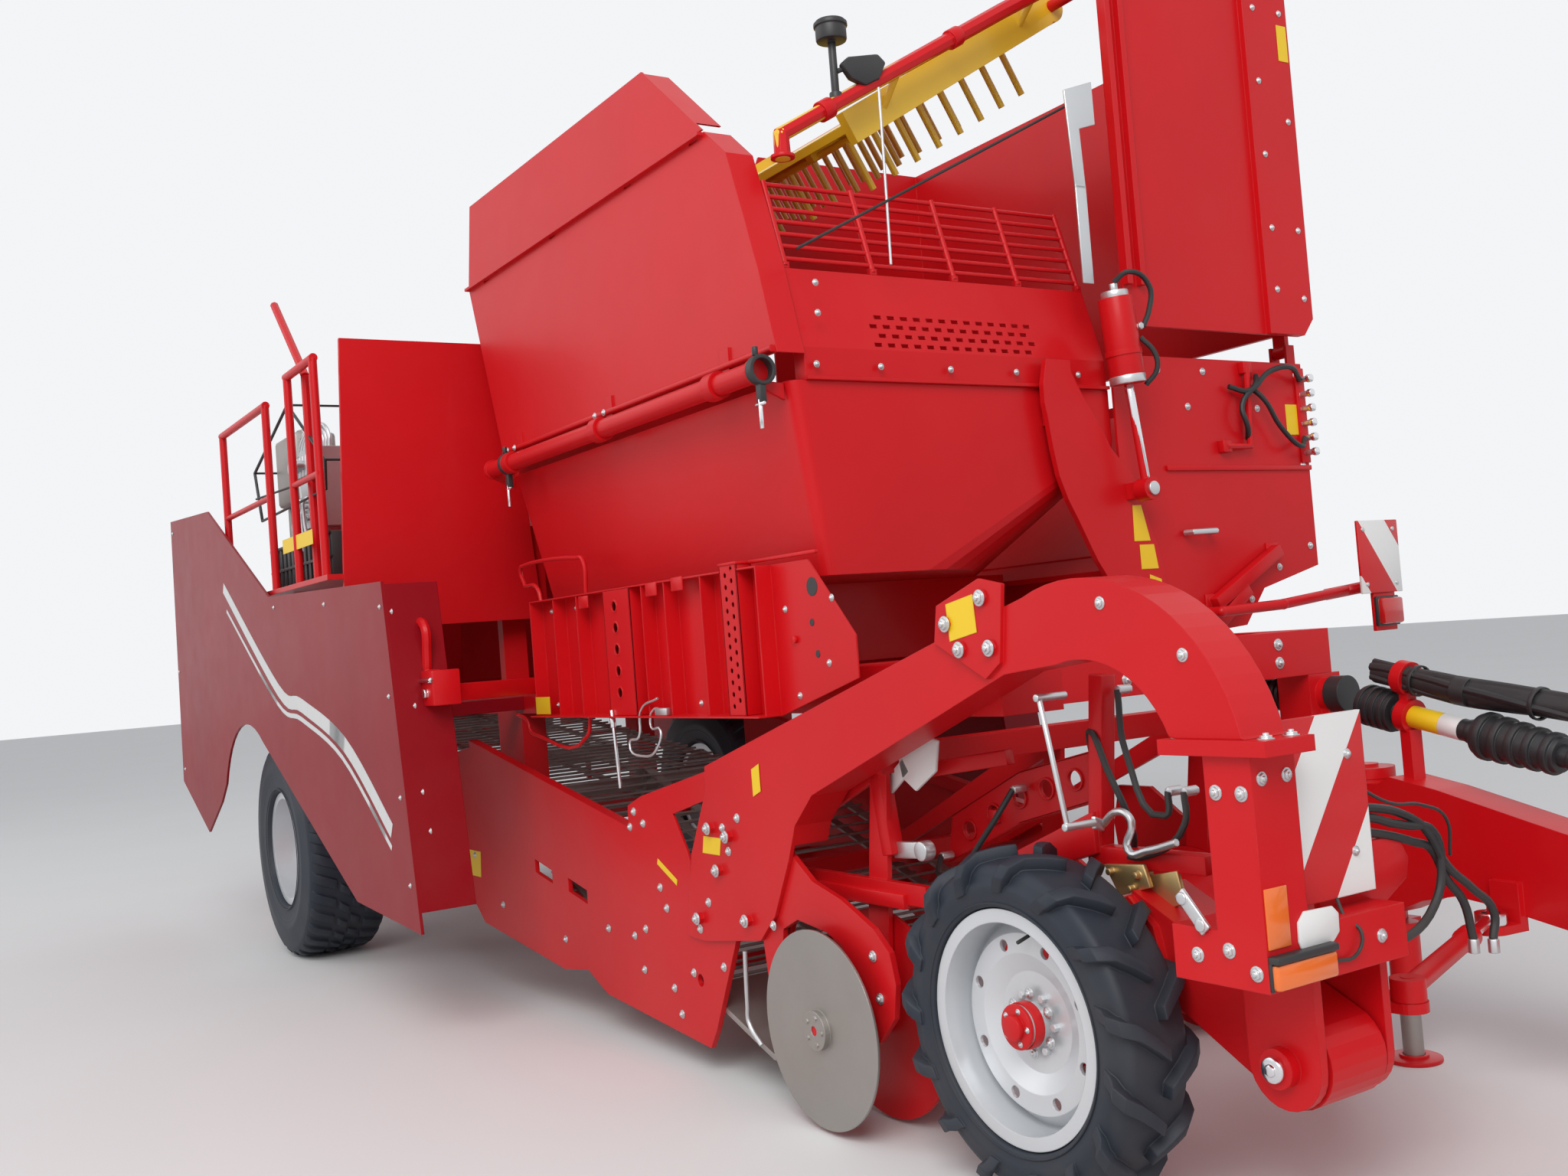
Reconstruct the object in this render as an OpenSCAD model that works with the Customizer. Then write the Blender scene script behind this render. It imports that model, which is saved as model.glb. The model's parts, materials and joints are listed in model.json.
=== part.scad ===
// Trailed two-row potato harvester with a side intake and a bunker
// X runs forward, Y to the left and Z up, from the ground under the middle of the machine

/* [Overall] */
// Front tip of the tow eye, ahead of the middle
tow_tip_x = 5100; // [5000:10:5200]
// Rear end of the bumper, behind the middle
rear_end_x = 5100; // [5000:10:5200]
// Outer face of the side covers, from the middle plane
cover_y = 1650; // [1640:1:1680]
// Height of the folded discharge section
head_top_z = 3970; // [3900:10:4000]

/* [Rear wheels] */
// Radius of a rear tyre
rear_tyre_r = 586; // [560:1:600]
// Width of a rear tyre
rear_tyre_w = 440; // [400:5:450]
// Radius of a rear rim at the bead
rear_rim_r = 290; // [270:1:310]
// Distance of the rear axle behind the middle
rear_axle_back = 3150; // [3100:10:3250]
// Half of the rear track
rear_half_track = 1300; // [1290:1:1310]
// Distance of a kingpin from the middle plane
kingpin_y = 960; // [950:1:965]
// Radius of a kingpin
kingpin_r = 25; // [20:1:28]
// Length of a steering arm
steer_arm = 180; // [160:1:190]

/* [Front wheel] */
// Radius over the lugs of the front tyre
front_tyre_r = 460; // [440:1:465]
// Width of the front tyre
front_tyre_w = 230; // [210:5:240]
// Radius of the front rim at the bead
front_rim_r = 292; // [270:1:300]
// Distance of the front wheel ahead of the middle
front_x = 2210; // [2200:1:2215]
// Distance of the front wheel to the right of the middle plane
front_y = 900; // [895:1:905]
// Lug pairs round the front tyre
front_lugs = 15; // [12:1:18]
// Height of a front lug
front_lug_h = 32; // [20:1:36]

/* [Chassis] */
// Underside of the long beams
beam_z = 1250; // [1240:1:1260]
// Height of the long beams
beam_h = 150; // [120:1:160]
// Width of the long beams
beam_w = 120; // [100:1:120]
// Inner face of the long beams from the middle plane
beam_in = 640; // [630:1:650]
// Width of the arched beam over the front wheel
arch_w = 140; // [120:1:140]
// Outer face of the arched beam from the middle plane
arch_out = 1000; // [995:1:1005]

/* [Bunker] */
// Front face of the hopper, ahead of the middle
bunker_front = 1205; // [1195:1:1215]
// Rear face of the hopper, behind the middle
bunker_back = 1130; // [1120:1:1140]
// Right face of the hopper at its rim, from the middle plane
bunker_right = 855; // [845:1:860]
// Where the hopper meets the lower box
bunker_left = 560; // [550:1:570]
// Underside of the hopper
hopper_z = 1700; // [1680:1:1720]
// Top edge of the hopper
rim_z = 2340; // [2330:1:2345]
// Sheet thickness of walls
sheet = 8; // [6:1:10]
// Height of the front wall over the hopper
front_wall_h = 392; // [380:1:410]
// Backward lean of the front wall, per height
wall_lean = 0.309; // [0.29:0.001:0.32]
// Bars in the grille
grille_bars = 7; // [5:1:8]
// Rows of slots in the front wall
slot_rows = 4; // [2:1:4]
// Axis height of the folding side wall
wall_axis_z = 2370; // [2368:1:2375]
// Distance of the folding wall's axis from the middle plane
wall_axis_y = 957; // [955:1:960]
// Outer face of the folding side wall, from the middle plane
wall_y = 908; // [906:1:910]
// Radius of the hinge tube
hinge_tube_r = 36; // [34:1:38]
// Height of the fold of the upper flap
flap_z = 3260; // [3240:1:3280]
// Height of the side wall's peak
peak_z = 3620; // [3600:1:3640]

/* [Discharge] */
// Front face of the lower box, ahead of the middle
box_front = 1236; // [1230:1:1240]
// Hinge height of the discharge section
head_axis_z = 2530; // [2520:1:2540]
// Hinge distance of the discharge section from the middle plane
head_axis_y = 1625; // [1620:1:1630]
// Radius of the hinge pins of the discharge section
head_pin_r = 18; // [15:1:20]
// Length of the fold-over tip
tip_len = 1190; // [1150:10:1250]
// Rows of fingers under the tip
finger_rows = 8; // [5:1:9]

/* [Tow beam] */
// Axis of the tow beam's pivot ahead of the middle
tow_pivot_x = 2060; // [2050:1:2070]
// Axis of the tow beam's pivot to the left of the middle plane
tow_pivot_y = 720; // [715:1:725]
// Radius of the pivot pin
tow_pin_r = 40; // [35:1:42]
// Angle of the parked tow beam towards the middle plane
tow_angle = 8; // [7:0.5:9]
// Radius of the tow eye's hole
tow_eye_r = 25; // [20:1:27]
// Height of the drive shaft over the pivot
shaft_z = 1150; // [1140:1:1160]
// Fall of the drive shaft per length
shaft_fall = 0.2; // [0.18:0.01:0.22]
// Radius of the jack's leg
jack_r = 32; // [28:1:34]
// Radius of the drive shaft's guard tube
shaft_r = 34; // [32:1:34]
// Radius of the hose bundle
hose_r = 38; // [34:1:38]

/* [Intake] */
// Outer face of the right side plate, from the middle plane
intake_out = 985; // [980:1:985]
// Outer face of the left side plate, from the middle plane
intake_left = 640; // [636:1:640]
// Height of the rear web's front roller
web_z = 820; // [810:1:830]
// Pitch of the bars of a web
web_pitch = 90; // [60:5:100]
// Radius of a disc
disc_r = 300; // [280:1:305]
// Radius of a ridge roller at its ends
roller_r = 320; // [300:1:325]
// Radius of a ridge roller at its waist
waist_r = 190; // [150:5:220]
// Radius of the rollers' axle
axle_r = 20; // [15:1:24]

/* [Hidden] */
red = [0.80, 0.07, 0.06];
steel = [0.62, 0.63, 0.64];
black = [0.08, 0.08, 0.09];
yellow = [0.93, 0.72, 0.08];
white = [0.9, 0.9, 0.9];
seat = 0.3;
fit = 0.05;
round_fn = 48;
axle_x = -rear_axle_back;
axle_z = rear_tyre_r;
wheel_z = front_tyre_r;
plate_in = -intake_out + 20;
disc_at = [1360, 315];
roller_at = [1400, 330];
pin_at = [2900, 455];
jack_at = [2150, 710];
foot_at = [2905, -330];
lug_local = [570, -150];
lug_at = [tow_pivot_x + lug_local[0] * cos(tow_angle) + lug_local[1] * sin(tow_angle),
    tow_pivot_y - lug_local[0] * sin(tow_angle) + lug_local[1] * cos(tow_angle)];
swing_len = norm(lug_at - foot_at);
swing_turn = atan2(lug_at[1] - foot_at[1], lug_at[0] - foot_at[0]);
reach = (tow_tip_x - tow_pivot_x - 55) / cos(tow_angle);
tip_hinge = [640, 3900];
tip_dir = [-0.86, -0.51];
box_x = box_front - seat;

// Points on an arc
function arc(c, r, a0, a1, n) = [for (i = [0:n]) c + r * [cos(a0 + (a1 - a0) * i / n), sin(a0 + (a1 - a0) * i / n)]];

// Plate that stands along X: its outline is in X and Z, and it fills y to y + t
module plate_xz(pts, y, t) {
    translate([0, y + t, 0]) rotate([90, 0, 0]) linear_extrude(t) polygon(pts);
}

// Plate that faces forward: its outline is in Y and Z, and it fills x to x + t
module plate_yz(pts, x, t) {
    translate([x, 0, 0]) rotate([90, 0, 90]) linear_extrude(t) polygon(pts);
}

// Box from one corner to the other
module block(a, b) {
    translate(a) cube(b - a);
}

// Round bar between two points
module rod(p, q, r, fn = 24) {
    d = q - p;
    translate(p) rotate([0, acos(d[2] / norm(d)), atan2(d[1], d[0])]) cylinder(h = norm(d), r = r, $fn = fn);
}

// Square bar between two points, w across and h up
module bar(p, q, w, h) {
    d = q - p;
    translate(p) rotate([0, -asin(d[2] / norm(d)), atan2(d[1], d[0])])
        translate([0, -w / 2, -h / 2]) cube([norm(d), w, h]);
}

// Bent round bar through a list of points
module bent(pts, r, fn = 16) {
    for (i = [0:len(pts) - 2]) rod(pts[i], pts[i + 1], r, fn);
    for (i = [1:len(pts) - 2]) translate(pts[i]) sphere(r + 1, $fn = fn);
}

// Round part that turns about an axis along Y, centred at c
module along_y(c) {
    translate(c) rotate([90, 0, 0]) children();
}

// Round part that turns about an axis along X, centred at c
module along_x(c) {
    translate(c) rotate([0, 90, 0]) children();
}

// Ring about Z, from radius a to b, between heights
module ring(a, b, z0, z1, fn = round_fn) {
    translate([0, 0, z0]) difference() {
        cylinder(h = z1 - z0, r = b, $fn = fn);
        translate([0, 0, -1]) cylinder(h = z1 - z0 + 2, r = a, $fn = fn);
    }
}

// Section of a tyre: half width w, bead radius b, crown radius r
module tyre_section(w, b, r) {
    polygon([[b, -w * 0.76], [b + 16, -w * 0.76], [b + 20, -w * 0.90], [(b + r) / 2, -w], [r - 40, -w * 0.92],
        [r, -w * 0.72], [r, w * 0.72], [r - 40, w * 0.92], [(b + r) / 2, w], [b + 20, w * 0.90], [b + 16, w * 0.76],
        [b, w * 0.76]]);
}

// Tyre with slanted lugs, about Z: lugs come in two rows set half a pitch apart
module lugged_tyre(r, w, bead, lug_h, lug_n, lug_w, slant) {
    half_swing = lug_w / 2 * cos(slant) + w * 0.27 * sin(slant);
    lug_top = sqrt(r * r - half_swing * half_swing);
    rotate_extrude($fn = 64) tyre_section(w / 2, bead, r - lug_h);
    for (side = [-1, 1]) for (i = [0:lug_n - 1])
        rotate([0, 0, (i + (side > 0 ? 0.5 : 0)) * 360 / lug_n])
            translate([r - lug_h - 12, 0, side * w * 0.24]) rotate([side * slant, 0, 0])
                translate([0, -lug_w / 2, -w * 0.27]) cube([lug_top - r + lug_h + 12, lug_w, w * 0.52]);
}

// Dished rim with a hub about Z. The bead seat is w wide, and the disc sits at height d
module dished_rim(bead, w, d, hub_r, hub_a, hub_b, bore, bore_end) {
    difference() {
        union() {
            rotate_extrude($fn = 64) polygon([[bead - 22, -w / 2], [bead + 14, -w / 2], [bead + 14, -w / 2 + 8],
                [bead - seat, -w / 2 + 8], [bead - seat, w / 2 - 8], [bead + 14, w / 2 - 8], [bead + 14, w / 2],
                [bead - 22, w / 2]]);
            rotate_extrude($fn = 64) polygon([[hub_r - 4, d], [bead * 0.45, d], [bead * 0.62, d + 24],
                [bead * 0.80, d + 24], [bead - 18, d - 26], [bead - 18, d - 38], [bead * 0.80, d + 14],
                [bead * 0.62, d + 14], [bead * 0.45, d - 12], [hub_r - 4, d - 12]]);
            translate([0, 0, hub_a]) cylinder(h = hub_b - hub_a, r = hub_r, $fn = 32);
            for (i = [0:5]) rotate([0, 0, i * 60]) translate([hub_r + 22, 0, d - 2]) cylinder(h = 18, r = 11, $fn = 6);
        }
        translate([0, 0, hub_a - 1]) cylinder(h = bore_end - hub_a + 1, r = bore, $fn = 32);
        for (i = [0:7]) rotate([0, 0, i * 45 + 22.5]) translate([bead * 0.71, 0, d - 20]) cylinder(h = 80, r = 16, $fn = 16);
    }
}

// Long beams with their cross members, the posts over the axle and the hangers of the intake
module main_frame() {
    color(red) {
        for (side = [-1, 1]) {
            y0 = side > 0 ? beam_in : -beam_in - beam_w;
            y1 = y0 + beam_w;
            block([-4700, y0, beam_z], [side > 0 ? 1930 : 2120, y1, beam_z + beam_h]);
            block([axle_x - 75, y0, axle_z + 85 + seat], [axle_x + 75, y1, beam_z]);
            block([-1780, y0, web_z - 40], [-1480, y1, beam_z]);
            block([-4220, y0, 1050], [-4100, y1, beam_z]);
        }
        for (x = [-4700, axle_x - 60, -1620, -500, 1000])
            block([x, -beam_in, beam_z], [x + 120, beam_in, beam_z + beam_h]);
        block([1810, -beam_in, beam_z], [1930, beam_in, beam_z + beam_h]);
        for (x = [-850, 450]) block([x, -beam_in - beam_w, beam_z + beam_h], [x + 100, 540, hopper_z - seat]);
        block([1980, -arch_out + arch_w + seat, beam_z], [2120, -beam_in - beam_w, beam_z + beam_h]);
        rod([-1550, plate_in + seat, 900], [-1550, -beam_in - beam_w, 900], 30);
    }
}

// Axle beam with the forks and kingpins at both ends
module rear_axle() {
    color(red) {
        block([axle_x - 75, -860, axle_z - 85], [axle_x + 75, 860, axle_z + 85]);
        for (side = [-1, 1]) {
            block([axle_x - 75, side > 0 ? 830 : -870, axle_z - 120], [axle_x + 75, side > 0 ? 870 : -830, axle_z + 120]);
            for (z = [axle_z - 120, axle_z + 90]) {
                block([axle_x - 50, side > 0 ? 870 : -kingpin_y, z], [axle_x + 50, side > 0 ? kingpin_y : -870, z + 30]);
                translate([axle_x, side * kingpin_y, z]) cylinder(h = 30, r = 50, $fn = 32);
            }
            translate([axle_x, side * kingpin_y, axle_z - 125]) cylinder(h = 250, r = kingpin_r, $fn = 32);
        }
    }
}

// Kingpin boss with the spindle and the steering arm
module knuckle(side) {
    color(red) difference() {
        union() {
            translate([axle_x, side * kingpin_y, axle_z - 90 + seat]) cylinder(h = 180 - 2 * seat, r = 50, $fn = 32);
            rod([axle_x, side * (kingpin_y + 30), axle_z], [axle_x, side * (rear_half_track - 205), axle_z], 60, 32);
            rod([axle_x, side * (kingpin_y + 30), axle_z], [axle_x, side * (rear_half_track + 30), axle_z], 35 - fit, 32);
            block([axle_x - steer_arm, side * kingpin_y - 25, axle_z - 60],
                [axle_x - 30, side * kingpin_y + 25, axle_z - 40]);
            translate([axle_x - steer_arm, side * kingpin_y, axle_z - 60]) cylinder(h = 20, r = 25, $fn = 32);
            translate([axle_x - steer_arm, side * kingpin_y, axle_z - 90]) cylinder(h = 40, r = 13, $fn = 24);
        }
        translate([axle_x, side * kingpin_y, axle_z - 100]) cylinder(h = 200, r = kingpin_r + fit, $fn = 32);
    }
}

// Rod that ties both steering arms and runs through the cylinder
module steering_rod() {
    x = axle_x - steer_arm;
    z = axle_z - 60 - 12 - seat;
    color(steel) {
        rod([x, -kingpin_y + 36, z], [x, kingpin_y - 36, z], 16, 24);
        for (side = [-1, 1]) translate([x, side * kingpin_y, z - 12]) ring(23, 40, 0, 24, 32);
    }
}

// Cylinder barrel round the steering rod, with its bracket on the axle
module steering_cylinder() {
    x = axle_x - steer_arm;
    z = axle_z - 60 - 12 - seat;
    color(red) difference() {
        union() {
            rod([x, -250, z], [x, 250, z], 42, 32);
            for (y = [-200, 180]) block([x, y, z - 10], [axle_x - 75 - seat, y + 20, z + 40]);
        }
        rod([x, -251, z], [x, 251, z], 16 + fit, 24);
    }
}

// Rear tyre, about an axis along Y
module tyre_rear(side) {
    color(black) along_y([axle_x, side * rear_half_track, axle_z])
        rotate_extrude($fn = round_fn) tyre_section(rear_tyre_w / 2, rear_rim_r, rear_tyre_r);
}

// Rear rim with its hub open towards the middle
module rim_rear(side) {
    color(steel) translate([axle_x, side * rear_half_track, axle_z]) rotate([side > 0 ? -90 : 90, 0, 0])
        dished_rim(rear_rim_r, rear_tyre_w * 0.84, 30, 75, -200, 75, 35, 35);
}

// Front tyre with deep lugs
module tyre_front() {
    color(black) along_y([front_x, -front_y, wheel_z])
        lugged_tyre(front_tyre_r, front_tyre_w, front_rim_r, front_lug_h, front_lugs, 34, 42);
}

// Front rim: its hub opens towards the wheel arm
module rim_front() {
    color(steel) along_y([front_x, -front_y, wheel_z])
        dished_rim(front_rim_r, front_tyre_w * 0.84, 10, 55, -110, 70, 30, 40);
}

// Inclined box behind the wheel: it hangs on the pin at its front end and carries the stub axle
module wheel_arm() {
    y1 = -front_y + front_tyre_w / 2 + 9;
    color(red) difference() {
        union() {
            plate_xz(concat(arc(pin_at, 105, -110, 55, 12), [[2440, 800], [2380, 640], [2500, 560]]), -755, 190);
            plate_xz(concat(arc([front_x, wheel_z], 75, 130, 300, 12), [[2560, 560], [2520, 720], [2440, 790]]), y1, 40);
            along_y([front_x, y1 + 10, wheel_z]) cylinder(h = 160, r = 30 - fit, $fn = 32);
        }
        along_y([pin_at[0], -500, pin_at[1]]) cylinder(h = 400, r = 30 + fit, $fn = 32);
    }
}

// Front leg, cheeks with the pin of the wheel arm, and the cross beam with its slanted front
module front_tower() {
    color(red) {
        block([2930, -arch_out, 680], [3060, -arch_out + arch_w, 1185]);
        block([2820, -arch_out - 20, 1180], [3120, -arch_out + arch_w - 2, 1215 - seat]);
        block([2800, -arch_out, 680], [3060, -530, 800]);
        for (y = [-790, -555]) plate_xz(concat(arc(pin_at, 100, 180, 360, 12), [[3000, 690], [2800, 690]]), y, 25);
        along_y([pin_at[0], -530, pin_at[1]]) cylinder(h = 260, r = 30, $fn = 32);
        along_y([pin_at[0], -790, pin_at[1]]) cylinder(h = 30, r = 46, $fn = 32);
        translate([0, 0, 480]) linear_extrude(320) polygon(concat([[2700, -530], [2600, -380], [2380, -100], [2050, 180],
            [1810, 400], [1810, beam_in - seat], [1950, beam_in - seat], [1970, 560], [2230, 330], [2600, 0]],
            arc([2740, -420], 120, 30, -60, 6), [[2800, -531]]));
        translate([0, 0, 490]) linear_extrude(25) polygon(concat([[2760, -390], [2760, -270]],
            arc(foot_at, 45, 90, -90, 12)));
        translate([foot_at[0], foot_at[1], 490]) cylinder(h = 82, r = 16, $fn = 24);
        for (z = [900, 1120]) block([2985, -862, z], [3000 - seat, -600, z + 40]);
    }
}

// White board with its stripes, in front of the leg
module warning_board() {
    color(white) block([3000, -858, 830], [3012, -560, 1240]);
}

// Arched beam: a plate at its rear end, the inclined box and the arch over the wheel
module arched_beam() {
    c = [2570, 1110];
    outline = concat([[490, 485], [520, 640], [560, 780], [690, 1000], [700, 1090], [2120, 1490]],
        arc(c, 485, 112, 13, 18), [[c[0] + 482, 1215], [c[0] + 285, 1215]], arc(c, 290, 22, 105, 12),
        [[2300, 1370], [1360, 1020], [1250, 920], [1200, 810], [1090, 620], [990, 530], [610, 480]]);
    color(red) {
        plate_xz(outline, -arch_out, 15);
        intersection() {
            plate_xz(outline, -arch_out, arch_w);
            plate_xz([[690, 900], [690, 1100], [2000, 2000], [3200, 2000], [3200, 1000], [1150, 850]], -arch_out, arch_w);
        }
        plate_xz([[2040, 1460], [2060, 1560], [2240, 1620], [2330, 1600], [2300, 1400], [2240, 1360]], -arch_out - 12, 12);
        for (p = [[2100, 1510], [2250, 1570], [2150, 1440], [2270, 1440], [600, 560], [930, 590], [760, 740], [840, 860],
            [720, 880]]) along_y([p[0], -arch_out, p[1]]) cylinder(h = 20, r = 20, $fn = 6);
    }
}

// Column at the left with the lugs and the pin of the tow beam, the jack's sleeve and the shaft's stand
module pivot_tower() {
    y = tow_pivot_y;
    color(red) {
        difference() {
            union() {
                block([1800, beam_in, 400], [1930, beam_in + 160, beam_z - seat]);
                block([1925, y - 90, 410], [jack_at[0], y + 90, 445]);
                translate([jack_at[0], jack_at[1], 200]) cylinder(h = 245, r = 50, $fn = 32);
                block([1925, y - 90, 905], [tow_pivot_x, y + 90, 940]);
                translate([tow_pivot_x, y, 905]) cylinder(h = 35, r = 90, $fn = round_fn);
            }
            translate([jack_at[0], jack_at[1], 190]) cylinder(h = 230, r = jack_r + fit, $fn = 32);
            along_x([1790, y, 1180]) cylinder(h = 150, r = 48, $fn = 32);
        }
        translate([tow_pivot_x, y, 420]) cylinder(h = 530, r = tow_pin_r, $fn = 32);
        block([1928, y - 30, 935], [1960, y + 30, 1140]);
        along_x([1928, y, 1180]) ring(35 + seat, 55, 0, 32, 32);
    }
}

// Tow beam: in its own frame the pivot is at the origin and the beam runs along X. A stand holds shaft and hoses
function shaft_at(x) = shaft_z - shaft_fall * x;
module tow_frame() {
    translate([tow_pivot_x, tow_pivot_y, 0]) rotate([0, 0, -tow_angle]) children();
}
module stand_at(x, foot) {
    block([x, -25, foot], [x + 40, 25, shaft_at(x + 20) - 44]);
    for (up = [0, 119]) translate([x, 0, shaft_at(x) + up]) rotate([0, 90 + atan(shaft_fall), 0])
        ring((up > 0 ? hose_r : shaft_r) + seat, 54, 0, 40, 32);
    block([x + 4, -20, shaft_at(x + 20) + 42], [x + 36, 20, shaft_at(x + 20) + 74]);
}
module shaft_stand() {
    color(red) tow_frame() stand_at(2300, 560 + seat);
}
module tow_beam() {
    color(red) tow_frame() difference() {
        union() {
            translate([0, 0, 445 + seat]) cylinder(h = 460 - 2 * seat, r = 88, $fn = round_fn);
            translate([0, 70, 0]) rotate([90, 0, 0]) linear_extrude(140) polygon([[50, 480], [50, 895], [110, 895],
                [160, 920], [340, 890], [740, 800], [1000, 745], [2300, 560], [2340, 560], [reach - 80, 490], [reach - 80, 390],
                [2100, 400], [900, 500], [500, 560], [380, 570], [250, 540], [110, 480]]);
            translate([reach, 0, 395]) cylinder(h = 50, r = 55, $fn = 32);
            block([reach - 100, -55, 395], [reach, 55, 445]);
            block([520, lug_local[1] - 10, 500], [620, -60, 525]);
            block([520, -90, 500], [620, -60, 640]);
            translate([lug_local[0], lug_local[1], 500]) cylinder(h = 25, r = 50, $fn = 32);
            translate([lug_local[0], lug_local[1], 500]) cylinder(h = 75, r = 10, $fn = 24);
            stand_at(180, 860);
        }
        translate([0, 0, 440]) cylinder(h = 470, r = tow_pin_r + fit, $fn = 32);
        translate([reach, 0, 390]) cylinder(h = 60, r = tow_eye_r, $fn = 32);
    }
}

// Drive shaft that lies on the tow beam, with a bell at each end and an open yoke in front
module drive_shaft() {
    fall = atan(shaft_fall);
    color(black) tow_frame() translate([30, 0, shaft_at(30)]) rotate([0, 90 + fall, 0]) difference() {
        union() {
            cylinder(h = 2600, r = shaft_r, $fn = 32);
            for (z = [0, 2470]) translate([0, 0, z]) {
                cylinder(h = 130, r = 62, $fn = 32);
                for (i = [0:3]) translate([0, 0, 12 + i * 30]) cylinder(h = 12, r = 68, $fn = 32);
            }
        }
        translate([0, 0, 2500]) cylinder(h = 110, r = 17.5, $fn = 32);
    }
}

// Shaft from the tow beam's pivot to the gearbox under the left beam
module rear_shaft() {
    color(black) {
        rod([1500, tow_pivot_y, 1180], [1962, tow_pivot_y, 1180], 35, 32);
        rod([1962, tow_pivot_y, 1180], [2020, tow_pivot_y, 1180], 60, 32);
        block([1330, tow_pivot_y - 70, 1090], [1500, tow_pivot_y + 70, beam_z - seat]);
    }
}

// Hose bundle over the drive shaft, held in a ring at both ends
module hose_bundle() {
    pts = [[90, 0, shaft_at(90) + 119], [420, 0, shaft_at(420) + 119], [900, 50, 1110], [1500, 60, 1000],
        [2000, 20, 900], [2180, 0, shaft_at(2180) + 119], [2560, 0, shaft_at(2560) + 119]];
    color(black) tow_frame() {
        for (i = [0:len(pts) - 2]) rod(pts[i], pts[i + 1], hose_r, 24);
        for (i = [1:len(pts) - 2]) {
            along = (pts[i + 1] - pts[i - 1]) / norm(pts[i + 1] - pts[i - 1]);
            rod(pts[i] - along * 25, pts[i] + along * 25, hose_r + 7, 24);
        }
    }
}

// Swing cylinder of the tow beam: the barrel turns on the front tower, the rod's eye lies over the beam's lug
module swing_frame() {
    translate([foot_at[0], foot_at[1], 543]) rotate([0, 0, swing_turn]) children();
}
module swing_barrel() {
    color(red) swing_frame() difference() {
        union() {
            translate([0, 0, -28 + seat]) cylinder(h = 55, r = 42, $fn = 32);
            along_x([20, 0, 0]) cylinder(h = 600, r = 27, $fn = 32);
            along_x([560, 0, 0]) cylinder(h = 60, r = 33, $fn = 32);
        }
        translate([0, 0, -60]) cylinder(h = 120, r = 16 + fit, $fn = 24);
        along_x([240, 0, 0]) cylinder(h = 400, r = 16 + fit, $fn = 24);
    }
}
module swing_rod() {
    color(steel) swing_frame() {
        rod([330, 0, 0], [swing_len - 35, 0, 0], 16, 24);
        translate([swing_len, 0, -17]) ring(26, 44, 0, 34, 32);
    }
}

// Leg of the parking jack with its round foot
module jack_leg() {
    color(steel) translate([jack_at[0], jack_at[1], 10]) cylinder(h = 250, r = jack_r, $fn = 32);
    color(steel) translate([jack_at[0], jack_at[1], 0]) cylinder(h = 12, r = 85, $fn = round_fn);
}

// Hopper: sheet walls that narrow downward, with a large round front corner that grows towards the floor
module hopper_hull(t) {
    top = [[-bunker_back + 40, -bunker_right + 40, 40], [bunker_front - 40, -bunker_right + 40, 40],
        [bunker_front - 40, 960, 40], [-bunker_back + 40, 960, 40]];
    low = [[-940, -730, 40], [bunker_front - 45, -730, 40], [bunker_front - 425, -350, 420], [-200, 960, 40],
        [-940, 960, 40]];
    hull() {
        for (p = top) translate([p[0], p[1], rim_z - 1]) cylinder(h = 1, r = p[2] - t, $fn = 32);
        for (p = low) translate([p[0], p[1], hopper_z + t]) cylinder(h = 1, r = p[2] - t, $fn = 32);
    }
}
module hopper() {
    color(red) difference() {
        hopper_hull(0);
        hopper_hull(sheet);
        translate([0, 0, 5]) hopper_hull(sheet);
        block([-2000, bunker_left, 1000], [2000, 2000, 3000]);
    }
}

// Slats of the moving floor, joined by three belts
module moving_floor() {
    color(black) {
        for (i = [0:9]) block([-900, -660 + i * 120, hopper_z + sheet + seat], [180, -620 + i * 120, hopper_z + 34]);
        for (x = [-850, -390, 70]) block([x, -660, hopper_z + sheet + seat], [x + 60, 460, hopper_z + 16]);
    }
}

// Front wall: an upright strip, a fold and a leaning sheet with staggered slots
module bunker_front_wall() {
    z1 = rim_z + front_wall_h;
    fold = 2450;
    x1 = bunker_front - (z1 - fold) * wall_lean;
    color(red) difference() {
        union() {
            plate_xz([[bunker_front, rim_z + seat], [bunker_front, fold], [x1, z1], [x1 - sheet, z1],
                [bunker_front - sheet, fold - 2], [bunker_front - sheet, rim_z + seat]], -795, bunker_left + 790);
            for (y = [-795, bunker_left - 13]) plate_xz([[bunker_front - 4, rim_z + seat], [bunker_front - 4, fold],
                [x1 - 4, z1], [x1 - 60, z1], [bunker_front - 60, fold], [bunker_front - 60, rim_z + seat]], y, 8);
            block([bunker_front - 4, -795, rim_z + seat], [bunker_front + 18, bunker_left - 5, rim_z + 12]);
        }
        for (row = [0:slot_rows - 1]) for (i = [0:12])
            translate([bunker_front - 80, -500 + i * 56 + (row % 2) * 28, 2462 + row * 34]) cube([100, 31, 14]);
    }
}
module bunker_rear_wall() {
    color(red) {
        block([-bunker_back, -bunker_right + 20, rim_z + seat], [-bunker_back + sheet, bunker_left - 5, 3250]);
        for (y = [-bunker_right + 20, -150, bunker_left - 45])
            block([-bunker_back - 40, y, rim_z + seat], [-bunker_back, y + 40, 3250]);
    }
}

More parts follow.
